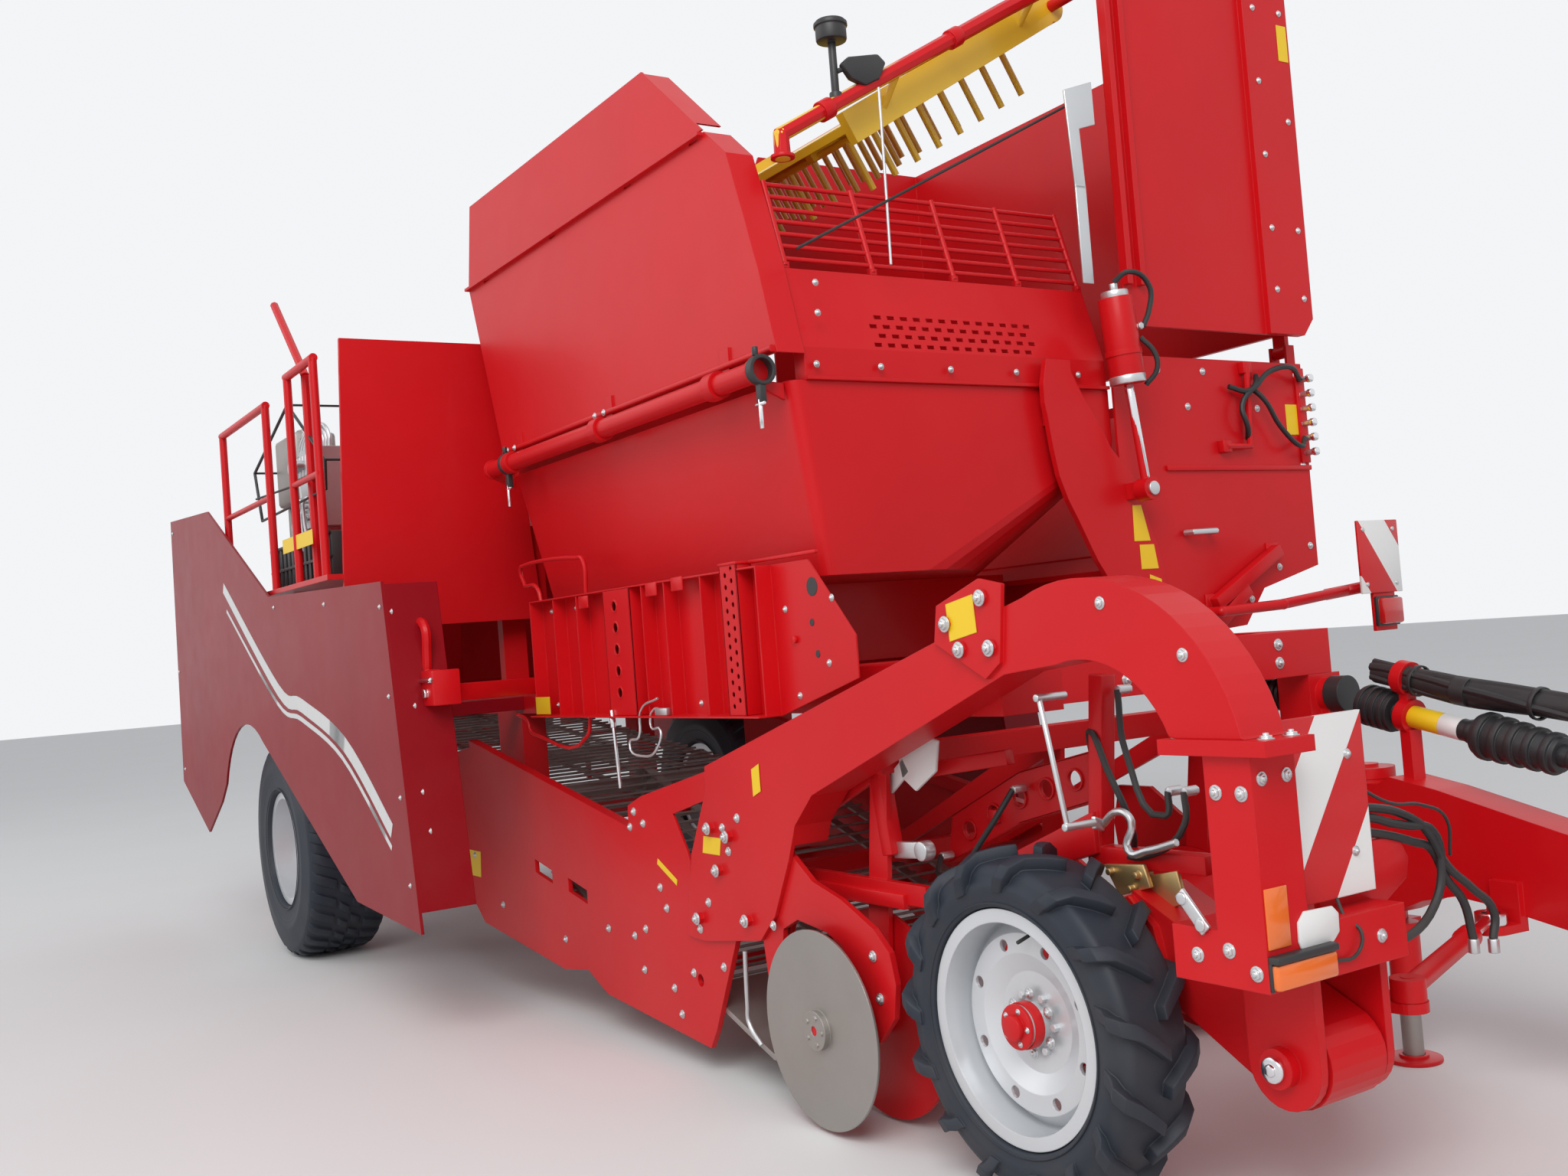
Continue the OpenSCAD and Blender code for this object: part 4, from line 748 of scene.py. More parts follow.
guardCatch = {
    "rods": (((-0.048, -0.975, 1.283), (-0.020, -0.975, 0.982), 0.007, 14, 0.001),
             ((-0.046, -0.975, 1.255), (-0.043, -0.975, 1.215), 0.012, 14, 0.002)),
    "handle": ((0.338, -0.972, 1.325), (0.197, -0.975, 1.276), (0.181, -0.980, 1.183), (0.108, -0.985, 1.157),
               (0.224, -0.985, 1.112), (0.336, -0.985, 1.148), (0.358, -0.980, 1.209), (0.282, -0.978, 1.221),
               (0.291, -0.975, 1.276), (0.407, -0.972, 1.274)), "handleRadius": 0.005,
    "block": ((0.33, -0.985, 1.262), (0.42, -0.965, 1.290), 0.003),
    # black discs flush with the wall: painted shade in the openings
    "openingShadeDiscs": ((1.315, 1.662, 0.030), (1.30, 1.55, 0.012), (1.32, 1.45, 0.012)),
}


def addGuardStrip(span, holes, radius, sides, g=guard):  # perforated face with a lip along each side
    x0, x1, z0, z1 = span
    face = addPlate(rectXZ(g["face"], *span), (0, -g["sheet"], 0), 0)
    face = cutHoles(face, inXZ(g["face"], holes), radius, sides)
    lips = [addBlock((x, g["face"] - g["sheet"], z0), (x + g["lip"], g["wall"], z1), 0.001)
            for x in (x0, x1 - g["lip"])]
    return [face] + lips


def buildGuard(g=guard):
    face, wall, radius = g["face"], g["wall"], g["holeRadius"]
    holes = [(g["holeX"], z) for z in g["holeHeights"]]
    red = addGuardStrip(g["strip"], holes, radius, 20)
    red += [addRing((x, face - 0.005, z), (0, 1, 0), radius + g["rim"], radius, 0.004, 24, 0.001)
            for x, z in holes]
    rows = [(x, z + g["smallPitch"] * i) for i in range(g["smallCount"]) for x, z in g["smallColumns"]]
    red += addGuardStrip(g["upright"], rows, g["smallRadius"], 10)
    red += addTubes(g["topLoops"], g["topRadius"]) + addTubes(g["lowLoop"], g["lowRadius"])
    red += [addRod((x, wall, z), (x, wall - g["studSize"], z), g["studSize"]) for x, z in g["studs"]]
    wide, high = g["hookSize"]
    red += [addBlock((x, face - 0.006, z), (x + wide, face + 0.002, z + high), 0.004) for x, z in g["hooks"]]
    red += addBlocks((g["cap"], g["ledge"]))
    # the black back sheet is painted shade behind the perforated upright
    finishPiece("guardStrips", {"redPaint": red, "blackPlastic": addBlocks((g["back"],))})


def buildGuardCatch(c=guardCatch, wall=guard["wall"]):
    handle = addTube(c["handle"], c["handleRadius"])
    finishPiece("guardCatch", {"chrome": addRods(c["rods"]),
                               "zincSteel": [handle] + addBlocks((c["block"],))})
    # thin black discs on the wall: painted shade where the openings are
    openingShadeDiscs = [addRod((x, wall - 0.0012, z), (x, wall + 0.001, z), radius, 24, 0)
                for x, z, radius in c["openingShadeDiscs"]]
    finishPiece("guardOpeningShade", {"blackPlastic": openingShadeDiscs})


buildGuard()
buildGuardCatch()
print("guard ready")

# Bolt heads that show: the way they face, their size, their level along it, and their places
boltRows = {
    "beam": ("right", 0.0165, -1.0195, ((2.10, 1.51), (2.25, 1.57), (2.15, 1.44), (2.27, 1.44), (0.60, 0.56),
                                        (0.93, 0.59), (0.76, 0.74), (0.84, 0.86), (0.72, 0.88))),
    "beamSmall": ("right", 0.012, -1.0, ((0.897, 0.924), (0.794, 0.885), (0.824, 0.808), (0.587, 0.520),
                                         (1.079, 0.590), (0.66, 0.62), (2.66, 1.53), (2.90, 1.40))),
    "intake": ("right", 0.012, -0.985, ((0.275, 0.632), (0.315, 0.560), (-0.194, 0.426), (0.035, 0.426),
                                        (0.132, 0.463), (0.098, 0.306), (0.488, 0.351), (0.331, 0.273),
                                        (0.376, 0.186), (0.708, 0.402), (-0.62, 0.33), (-1.30, 0.40),
                                        (-1.62, 0.60), (0.172, 0.860), (0.060, 0.840), (0.10, 0.90))),
    "discArm": ("right", 0.013, -0.985, ((1.04, 0.78), (1.14, 0.78), (1.60, 0.56), (1.62, 0.44),
                                         (1.04, 0.42))),
    "tower": ("right", 0.013, -1.0, ((2.96, 1.10), (3.03, 1.10), (2.96, 0.76), (3.03, 0.72), (2.87, 0.74))),
    "wallHinge": ("right", 0.010, -0.9575, ((-0.94, 2.43), (-0.86, 2.43), (-0.04, 2.43), (0.04, 2.43))),
    "guard": ("right", 0.009, -0.908, ((-0.70, 1.70), (-0.45, 1.70), (0.10, 1.70), (0.62, 1.70), (1.15, 1.60),
                                       (1.38, 1.42), (1.42, 1.62), (0.55, 1.30), (1.20, 1.32),
                                       (-0.70, 1.30))),
    "cover": ("right", 0.008, -1.65, ((-0.70, 1.76), (-0.66, 1.40), (-0.60, 1.00), (-0.55, 0.66),
                                      (-1.50, 1.82), (-0.549, 1.733), (-0.345, 1.362), (-0.323, 1.036),
                                      (-0.264, 0.892), (-2.40, 1.86), (-4.85, 2.48), (-4.92, 1.60),
                                      (-4.92, 0.98))),
    "hopper": ("front", 0.009, 1.2225, ((-0.76, 2.39), (-0.50, 2.39), (-0.20, 2.39), (0.10, 2.39),
                                        (0.40, 2.39), (-0.74, 2.56), (-0.74, 2.66))),
    "lowerBox": ("front", 0.011, 1.2357, ((0.80, 2.42), (1.05, 2.42), (1.60, 2.42), (1.60, 2.05),
                                          (1.60, 1.72), (1.40, 1.64), (1.22, 1.52), (0.95, 2.28),
                                          (1.35, 2.28), (0.86, 1.46))),
    "head": ("front", 0.010, 1.3142, ((1.44, 3.90), (1.44, 3.60), (1.44, 3.30), (1.44, 3.00), (1.44, 2.75),
                                      (1.60, 3.90), (1.60, 3.45), (1.60, 3.00), (1.60, 2.72))),
    "towerFront": ("front", 0.012, 3.06, ((-0.97, 1.13), (-0.89, 1.13), (-0.97, 0.72), (-0.62, 0.74))),
    "board": ("front", 0.009, 3.012, ((-0.83, 0.925), (-0.83, 1.145), (-0.62, 0.925), (-0.62, 1.145))),
    "frame": ("front", 0.015, 1.93, [(y, z) for y in (-0.50, -0.20, 0.25, 0.50) for z in (1.30, 1.36)]),
    "hood": ("back", 0.010, -5.0602, [(y, z) for z in (1.30, 1.75, 2.20, 2.60) for y in (-0.70, 0.70)]
             + [(0.0, 2.62), (0.0, 1.10)]),
    "flange": ("up", 0.014, 1.2147, ((2.85, -0.98), (2.85, -0.90), (3.09, -0.98), (3.09, -0.90))),
}
bolts = []
for way, size, level, places in boltRows.values():
    bolts += addBolts(onFace(way, level, places), facing[way], size)
finishPiece("boltHeads", {"zincSteel": bolts})
print("bolts ready:", len(bolts))

# Blank labels: the way they face, their level along it, and their corners
labelForm = {"thickness": 0.0012, "edge": 0.0004}
labelRows = (
    ("right", -0.9725, ((-0.790, 1.266), (-0.640, 1.266), (-0.640, 1.340), (-0.790, 1.340))),
    ("right", -0.9855, ((-1.765, 0.500), (-1.560, 0.500), (-1.545, 0.622), (-1.750, 0.622))),
    ("right", -0.9852, ((0.262, 0.716), (0.405, 0.650), (0.412, 0.672), (0.270, 0.738))),
    ("right", -1.0005, ((0.644, 0.789), (0.764, 0.789), (0.779, 0.849), (0.659, 0.849))),
    ("right", -1.0125, ((2.108, 1.462), (2.222, 1.482), (2.216, 1.582), (2.102, 1.562))),
    ("right", -1.6005, ((-2.340, 2.118), (-1.790, 2.118), (-1.790, 2.188), (-2.340, 2.188))),
    ("right", -1.0015, ((1.015, 1.000), (1.065, 1.020), (1.065, 1.110), (1.015, 1.090))),
    ("front", 1.2604, ((0.575, 1.765), (0.660, 1.765), (0.625, 1.900), (0.580, 1.900))),
    ("front", 1.2604, ((0.600, 1.660), (0.690, 1.660), (0.675, 1.752), (0.600, 1.752))),
    ("front", 1.2604, ((0.630, 1.510), (0.706, 1.510), (0.700, 1.620), (0.640, 1.640))),
    ("front", 1.2362, ((1.520, 2.175), (1.615, 2.175), (1.615, 2.300), (1.520, 2.300))),
    ("front", 1.3146, ((1.575, 3.700), (1.635, 3.700), (1.635, 3.850), (1.575, 3.850))),
    ("back", -1.5304, ((-1.356, 2.443), (-1.312, 2.443), (-1.312, 2.527), (-1.356, 2.527))),
)


def addLabel(way, level, corners, form=labelForm):
    plate = addPlate(onFace(way, level, corners), Vector(facing[way]) * form["thickness"], 0)
    return roundEdges(plate, form["edge"], 1)


finishPiece("blankLabels", {"blankLabel": [addLabel(*row) for row in labelRows]})

# White stripes of both covers: X, Z and half width at each knot of a rounded line
coverStripe = {
    "thick": ((-3.499, 2.037, 0.030), (-2.418, 1.450, 0.032), (-1.992, 1.370, 0.034), (-1.320, 1.196, 0.036),
              (-0.740, 0.860, 0.034)),
    "thin": ((-3.452, 1.905, 0.010), (-2.450, 1.385, 0.011), (-2.006, 1.305, 0.012), (-1.370, 1.140, 0.012),
             (-0.755, 0.790, 0.012)),
    "level": 1.6502, "thickness": 0.0006, "steps": 6,
}


def between(a, b, c, d, t):  # smooth value from b at t = 0 to c at t = 1, with a before and d after them
    return (2 * b + (c - a) * t + (2 * a - 5 * b + 4 * c - d) * t * t + (3 * b - a - 3 * c + d) * t ** 3) / 2


def smoothLine(knots, steps):
    line = []
    run = (knots[0], *knots, knots[-1])
    for four in zip(run, run[1:], run[2:], run[3:]):
        line += [[between(*values, s / steps) for values in zip(*four)] for s in range(steps)]
    return line + [list(knots[-1])]


def addBand(knots, side, c=coverStripe):
    line = smoothLine(knots, c["steps"])
    level = side * c["level"]
    upper, lower = [], []
    for i, (x, z, half) in enumerate(line):
        following, before = line[min(i + 1, len(line) - 1)], line[max(i - 1, 0)]
        across = Vector((before[1] - following[1], following[0] - before[0])).normalized() * half
        upper.append((x + across[0], level, z + across[1]))
        lower.append((x - across[0], level, z - across[1]))
    push = (0, side * c["thickness"], 0)
    strips = [addPlate([upper[i], upper[i + 1], lower[i + 1], lower[i]], push, 0)
              for i in range(len(line) - 1)]
    return cleanMesh(mergeParts(strips), 0.0002, False)


finishPiece("coverStripes", {"stripeFilm": [addBand(coverStripe[key], side) for side in (-1, 1)
                                            for key in ("thick", "thin")]})
print("labels and stripes ready")

# Wheels: hub caps, nuts and valve stems
frontHub = {"face": 0.070, "radius": 0.055, "nutCircle": 0.077, "nutFace": 0.026, "nuts": 6, "valveUp": 0.235}
rearHub = {"face": 0.075, "radius": 0.075, "nutCircle": 0.118, "nutFace": 0.030, "nuts": 10, "valveUp": 0.22}


def circlePlaces(center, radius, count, turned=0.0):  # places round a wheel's axis
    turns = [math.tau * (i + turned) / count for i in range(count)]
    return [center + Vector((math.cos(turn), 0, math.sin(turn))) * radius for turn in turns]


def buildHub(name, body, tyre, side, h):
    out, middle = Vector((0, side, 0)), Vector(wheelCenter(tyre, side))
    face, radius = middle + out * h["face"], h["radius"]
    nutPlane = middle + out * h["nutFace"]
    cap = [addRod(face, face + out * 0.012, radius + 0.004, 32, 0.004),
           addRod(face + out * 0.010, face + out * 0.030, radius * 0.62, 28, 0.006),
           addRing(face - out * 0.02, (0, 1, 0), radius + 0.006, radius + 0.0002, 0.030, 32, 0.002)]
    nuts = addBolts(circlePlaces(nutPlane, h["nutCircle"], h["nuts"], 0.5), out, 0.0125)
    screws = addBolts(circlePlaces(face + out * 0.012, radius * 0.80, 5), out, 0.006)
    stem = addRod(nutPlane + out * 0.020 + Vector((0.04, 0, h["valveUp"])),
                  nutPlane + out * 0.062 + Vector((0.04, 0, h["valveUp"] - 0.012)), 0.005, 12, 0.001)
    finishPiece(name, {"redPaint": cap, "zincSteel": nuts + screws, "blackPlastic": [stem]}, body)


buildHub("frontHubCap", "wheel_front", frontTyre, -1, frontHub)
for side, word in ((-1, "right"), (1, "left")):
    buildHub("rearHubCap_" + word, "wheel_rear_" + word, rearTyre, side, rearHub)
print("hubs ready")

# Folded tip of the discharge: red guard tube, lamp on its stalk and the mirror under it
tipGuard = {
    "x": 1.09, "path": ((-0.740, 3.112), (-0.740, 3.195), (0.300, 3.790), (0.500, 3.900)), "radius": 0.0295,
    "clamps": ((-0.55, 3.3037), (0.05, 3.647)), "clampForm": (0.036, 0.026, 0.05), "slope": (0, 0.867, 0.497),
    "lampY": -0.50, "lampRadius": 0.054, "lampLow": 3.548, "lampHigh": 3.622, "stalkLow": 3.330,
    "stalkRadius": 0.0138, "arm": ((0, -0.50, 3.44), (0.012, -0.470, 3.452), (0.014, -0.43, 3.455)),
    "armRadius": 0.009, "mirror": ((-0.490, 3.462), (-0.455, 3.492), (-0.330, 3.520), (-0.296, 3.492),
                                   (-0.330, 3.430), (-0.392, 3.398), (-0.452, 3.415)),
    "mirrorMiddle": (-0.39, 3.455), "glassShare": 0.82,
}


def buildTipGuard(g=tipGuard):
    x, radius, lampRadius = g["x"], g["radius"], g["lampRadius"]
    footY, footZ = g["path"][0]
    tube = addTube(inYZ(x, g["path"]), radius, False)
    foot = addRing((x, footY, footZ + 0.006), (0, 0, 1), radius + 0.012, radius - 0.003, 0.012)
    clamps = [addRing(place, g["slope"], *g["clampForm"]) for place in inYZ(x, g["clamps"])]

    def post(low, high, *form):
        return addRod((x, g["lampY"], low), (x, g["lampY"], high), *form)

    lamp = post(g["lampLow"], g["lampHigh"], lampRadius, 36, 0.008)
    rim = addRing((x, g["lampY"], g["lampHigh"] - 0.016), (0, 0, 1), lampRadius + 0.005, lampRadius - 0.004,
                  0.014)
    stalk = post(g["stalkLow"], g["lampLow"] + 0.004, g["stalkRadius"], 20, 0.001)
    collar = post(g["stalkLow"] + 0.004, g["stalkLow"] + 0.040, 0.022, 20, 0.003)
    arms = addTubes((g["arm"],), g["armRadius"], x)
    shell = addPlate(inYZ(x + 0.008, g["mirror"]), (0.030, 0, 0), 0.009)
    (midY, midZ), share = g["mirrorMiddle"], g["glassShare"]
    outline = [(midY + (y - midY) * share, midZ + (z - midZ) * share) for y, z in g["mirror"]]
    glass = addPlate(inYZ(x + 0.0085, outline), (-0.0015, 0, 0), 0)
    finishPiece("tipGuardTube", {"redPaint": [tube, foot] + clamps,
                                 "blackPlastic": [lamp, rim, stalk, collar, shell] + arms,
                                 "mirrorGlass": [glass]}, "discharge_tip")


buildTipGuard()

# Front: lamp, reflector and plate on the tower's beam, the shield behind the board, and the hoses
frontTrim = {
    "face": 3.0602, "reflector": ((-0.996, 0.772), (-0.925, 0.772), (-0.925, 0.900), (-0.996, 0.900)),
    "lens": ((0, -0.996, 0.687), (0.024, -0.802, 0.743), 0.008),
    "lampFrame": (((-0.002, -0.999, 0.743), (0.027, -0.799, 0.760), 0.004),
                  ((-0.002, -0.999, 0.685), (0.008, -0.993, 0.745), 0.002),
                  ((-0.002, -0.805, 0.685), (0.008, -0.799, 0.745), 0.002)),
    "plate": ((-0.895, 0.757), (-0.875, 0.752), (-0.790, 0.757), (-0.768, 0.775), (-0.766, 0.815),
              (-0.785, 0.833), (-0.878, 0.836), (-0.900, 0.815), (-0.902, 0.775)),
    "cleat": ((-0.003, -0.862, 0.775), (0.004, -0.800, 0.815), 0.002),
    "shieldBack": 2.952, "shield": ((-0.518, 0.930), (-0.455, 0.932), (-0.399, 0.918), (-0.371, 0.870),
                                    (-0.385, 0.825), (-0.500, 0.766), (-0.626, 0.736), (-0.700, 0.780),
                                    (-0.718, 0.845)),
    "link": ((2.835, -1.006, 0.875), (2.905, -1.006, 0.795), 0.010, 0.032, 0.004),
    "linkPins": (((2.846, -1.000, 0.862), (2.846, -1.016, 0.862), 0.014, 20, 0.002),
                 ((2.894, -1.000, 0.808), (2.894, -1.016, 0.808), 0.014, 20, 0.002)),
    "pinCap": (((2.90, -0.818, 0.455), (2.90, -0.836, 0.455), 0.030, 28, 0.005),
               ((2.90, -0.833, 0.455), (2.90, -0.842, 0.455), 0.015, 6, 0.002)),
}
frontHoses = {
    "loop": (2.984, ((-0.600, 0.990), (-0.520, 0.985), (-0.445, 0.963), (-0.384, 0.949), (-0.290, 0.923),
                     (-0.270, 0.838), (-0.310, 0.750), (-0.443, 0.690), (-0.540, 0.700))),
    "long": (2.984, ((-0.600, 1.015), (-0.500, 1.005), (-0.400, 0.978), (-0.321, 0.934), (-0.248, 0.835),
                     (-0.157, 0.767), (-0.076, 0.692), (-0.090, 0.632))),
    "short": (2.970, ((-0.600, 0.965), (-0.470, 0.940), (-0.350, 0.905), (-0.285, 0.880), (-0.235, 0.800),
                      (-0.175, 0.735), (-0.150, 0.640))),
    "radius": 0.0105, "endDown": 0.035, "endRadius": 0.014, "wireRadius": 0.004,
    "wires": (((2.99, -0.56, 1.06), (3.02, -0.50, 1.02), (3.02, -0.38, 1.00), (3.01, -0.27, 0.95),
               (2.99, -0.24, 0.86)),
              ((3.012, -0.70, 0.83), (3.04, -0.71, 0.79), (3.068, -0.70, 0.765), (3.07, -0.72, 0.72),
               (3.066, -0.798, 0.715))),
}


def buildFrontTrim(t=frontTrim):
    x = t["face"]
    amber = addBlocks((t["lens"],), x) + [addPlate(inYZ(x, t["reflector"]), (0.004, 0, 0), 0.001)]
    finishPiece("frontLamp", {"amberLens": amber, "blackPlastic": addBlocks(t["lampFrame"], x)})
    shield = addPlate(inYZ(t["shieldBack"], t["shield"]), (0.020, 0, 0), 0.006)
    plate = addPlate(inYZ(x, t["plate"]), (0.006, 0, 0), 0.002)
    zinc = addBlocks((t["cleat"],), x) + addBars((t["link"],)) + addRods(t["linkPins"])
    finishPiece("frontShield", {"redPaint": [shield], "whitePaint": [plate], "zincSteel": zinc,
                                "chrome": addRods(t["pinCap"])})


def buildFrontHoses(h=frontHoses):
    lines = [inYZ(*h[key]) for key in ("loop", "long", "short")]
    rubber = addTubes(lines, h["radius"]) + addTubes(h["wires"], h["wireRadius"])
    tips = [line[-1] for line in lines[1:]]
    ends = [addRod((x, y, z), (x, y, z - h["endDown"]), h["endRadius"], 6, 0.002) for x, y, z in tips]
    finishPiece("frontHoses", {"hoseRubber": rubber, "zincSteel": ends})


buildFrontTrim()
buildFrontHoses()

# Tow beam, seen along its own line: strands of the hose bundle, guard bands, the bells and the jack's foot
towFrame = {"pivot": (2.060, 0.720), "turn": math.radians(-8), "shaftHeight": 1.150, "fall": 0.20}
bundle = {
    "path": ((0.090, 0, 1.251), (0.420, 0, 1.185), (0.900, 0.050, 1.110), (1.500, 0.060, 1.000),
             (2.000, 0.020, 0.900), (2.180, 0, 0.833), (2.560, 0, 0.757)), "strands": 7, "radius": 0.0125,
    "spread": 0.0335, "twist": 1.1, "twistPitch": 3.1, "step": 0.09,
    "ties": ((0.25, 0, 1.219), (0.66, 0.025, 1.1475), (1.20, 0.055, 1.055), (1.75, 0.040, 0.950)),
    "tieForm": (0.050, 0.044, 0.014, 28, 0.001),
}
shaft = {
    "bells": ((0.74, 0.47, 0.052, 0.066), (2.18, 2.46, 0.050, 0.064)), "ribs": 5, "ribOut": 0.009,
    "ribShare": 0.22, "lockRings": (0.20, 0.44, 0.78, 1.6), "ringForm": (0.0375, 0.0335, 0.02, 32, 0.001),
    "yellowBand": (0.215, 0.335), "whiteBand": (0.335, 0.405), "bandForm": (0.0352, 36, 0.0004),
    "rearBell": ((1.545, 0.720, 1.180), (1.765, 0.720, 1.180), 0.058, 0.046),
}
jackFoot = {"low": 0.0006, "high": 0.0134, "disc": (0.0868, 48, 0.003), "collarUp": 0.018,
            "collar": (0.046, 0.034, 0.010, 36, 0.002)}


def onBeam(x, y, z, t=towFrame):
    sine, cosine = math.sin(t["turn"]), math.cos(t["turn"])
    return Vector((t["pivot"][0] + x * cosine - y * sine, t["pivot"][1] + x * sine + y * cosine, z))


def onShaft(x):
    return onBeam(x, 0, towFrame["shaftHeight"] - towFrame["fall"] * x)


def strandPoints(k, b=bundle):
    points = []
    path = [Vector(point) for point in b["path"]]
    for first, second in zip(path, path[1:]):
        steps = max(2, round((second - first).length / b["step"]))
        for s in range(steps + (second is path[-1])):
            middle = first.lerp(second, s / steps)
            angle = math.tau * k / b["strands"] + b["twist"] * math.sin(middle.x * b["twistPitch"] + k)
            points.append(onBeam(middle.x, middle.y + math.cos(angle) * b["spread"],
                                 middle.z + math.sin(angle) * b["spread"]))
    return points


def addBell(start, end, narrow, wide, s=shaft):  # ribbed guard bell round a shaft
    start, end = Vector(start), Vector(end)
    parts = [addRod(start, end, narrow, 36, 0.004, wide)]
    reach = (end - start) * s["ribShare"] / s["ribs"]
    for i in range(s["ribs"]):
        share = (i + 0.5) / s["ribs"]
        middle = start.lerp(end, share)
        radius = narrow + (wide - narrow) * share + s["ribOut"]
        parts.append(addRod(middle - reach, middle + reach, radius, 36, 0.004))
    return parts


def buildTowDressing(b=bundle, s=shaft):
    strands = [addTube(strandPoints(k), b["radius"], True, 2) for k in range(b["strands"])]
    along = onBeam(1, 0, -towFrame["fall"]) - onBeam(0, 0, 0)
    ties = [addRing(onBeam(*tie), along, *b["tieForm"]) for tie in b["ties"]]
    finishPiece("hoseStrands", {"hoseRubber": strands, "blackPlastic": ties}, "tow_beam")
    black = []
    for first, last, narrow, wide in s["bells"]:
        black += addBell(onShaft(first), onShaft(last), narrow, wide)
    black += [addRing(onShaft(x), onShaft(1) - onShaft(0), *s["ringForm"]) for x in s["lockRings"]]
    finishPiece("shaftBells", {"blackPlastic": black}, "tow_beam")
    yellow, white = ([addRod(onShaft(first), onShaft(last), *s["bandForm"])]
                     for first, last in (s["yellowBand"], s["whiteBand"]))
    finishPiece("shaftBands", {"blankLabel": yellow, "whitePaint": white}, "tow_beam")
    finishPiece("rearShaftBell", {"blackPlastic": addBell(*s["rearBell"])})


def buildJackFoot(j=jackFoot):
    low, high = (Vector(corner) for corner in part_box("jack_leg"))
    x, y, _ = (low + high) / 2
    disc = addRod((x, y, j["low"]), (x, y, j["high"]), *j["disc"])
    collar = addRing((x, y, j["collarUp"]), (0, 0, 1), *j["collar"])
    finishPiece("jackFoot", {"redPaint": [disc, collar]}, "jack_leg")


buildTowDressing()
buildJackFoot()
print("front and tow beam dressed")

# Gear under the arched beam: tubes, slotted channel, hoses and small brackets, seen through the arch
archGear = {
    "bars": (((1.475, -0.82, 1.075), (1.514, -0.82, 0.826), 0.05, 0.05, 0.004),
             ((2.338, -0.70, 1.347), (2.278, -0.70, 0.849), 0.05, 0.05, 0.004),
             ((0.968, -0.85, 0.697), (1.615, -0.85, 0.700), 0.045, 0.045, 0.004),
             ((1.475, -0.80, 1.060), (1.90, -0.66, 1.115), 0.045, 0.045, 0.004),
             ((2.30, -0.70, 0.872), (2.62, -0.66, 0.865), 0.05, 0.05, 0.004),
             ((1.75, -0.62, 0.93), (1.75, -0.45, 0.93), 0.04, 0.04, 0.004)),
    "channelFace": -0.60, "channelTop": ((1.537, 0.918), (1.865, 1.063), (2.211, 1.138)),
    "channelLow": ((2.179, 0.998), (1.846, 0.913), (1.498, 0.769)), "lipMiddle": -0.578,
    "lipForm": (0.044, 0.006, 0.001), "slots": ((1.62, 0.880), (1.74, 0.935), (1.86, 0.988), (1.98, 1.020),
                                                (2.10, 1.050)), "slotRadius": 0.026,
    "holder": (-0.742, ((1.888, 0.824), (2.303, 0.991), (2.304, 0.879), (1.93, 0.775))),
    "discTube": (((0.873, -0.85, 0.384), (0.950, -0.85, 0.577), 0.020),
                 ((0.865, -0.85, 0.365), (0.880, -0.85, 0.402), 0.026)),
}
archBrackets = {
    "white": (-0.800, ((1.558, 1.149), (1.661, 1.197), (1.760, 1.175), (1.740, 1.084), (1.638, 1.022),
                       (1.575, 1.060))),
    "whiteArm": ((1.60, -0.806, 1.10), (1.50, -0.806, 1.03), 0.012, 0.05, 0.003),
    "zincBars": (((1.514, -0.81, 0.840), (1.672, -0.81, 0.850), 0.02, 0.05, 0.003),
                 ((2.432, -0.862, 0.985), (2.330, -0.735, 0.955), 0.010, 0.03, 0.002)),
    "zincRods": (((1.672, -0.80, 0.850), (1.672, -0.84, 0.850), 0.030, 28, 0.005),
                 ((2.366, -0.95, 1.306), (2.432, -0.95, 0.985), 0.007),
                 ((2.366, -0.962, 1.306), (2.366, -0.860, 1.306), 0.010, 16, 0.002),
                 ((2.432, -0.962, 0.985), (2.432, -0.860, 0.985), 0.010, 16, 0.002)),
    "handle": ((2.330, -0.745, 0.950), (2.417, -0.752, 0.998), (2.452, -0.752, 0.975), (2.433, -0.752, 0.899),
               (2.500, -0.750, 0.905), (2.595, -0.748, 0.931)), "handleRadius": 0.010,
    "discRod": ((0.873, -0.995, 0.480), (0.863, -0.995, 0.300), (0.863, -0.995, 0.244),
                (0.928, -0.990, 0.178)),
    "discRodRadius": 0.008,
    "gold": ((-0.735, ((2.322, 0.853), (2.462, 0.864), (2.482, 0.807), (2.369, 0.775))),
             (-0.700, ((2.402, 0.820), (2.540, 0.850), (2.560, 0.770), (2.440, 0.730)))),
    "goldPins": ((2.352, 0.838), (2.445, 0.836), (2.420, 0.800)), "pinSpan": (-0.752, -0.690),
    "pinForm": (0.009, 16, 0.002),
}
archHoses = {
    "lines": (((2.390, -0.70, 1.305), (2.412, -0.71, 1.143), (2.529, -0.71, 0.988), (2.536, -0.70, 1.047)),
              ((2.588, -0.70, 1.049), (2.592, -0.71, 0.972), (2.464, -0.71, 0.884), (2.296, -0.70, 0.875)),
              ((1.540, -0.66, 0.80), (1.60, -0.72, 0.76), (1.72, -0.74, 0.78), (1.84, -0.72, 0.90),
               (1.90, -0.66, 1.02)),
              ((2.24, -0.66, 1.10), (2.30, -0.72, 1.20), (2.36, -0.73, 1.10), (2.40, -0.70, 0.95),
               (2.36, -0.66, 0.86)),
              ((0.96, -0.84, 0.66), (1.02, -0.90, 0.60), (0.98, -0.90, 0.50), (0.93, -0.86, 0.44))),
    "radius": 0.009, "fittingLong": 0.045, "fittingForm": (0.013, 6, 0.002),
}


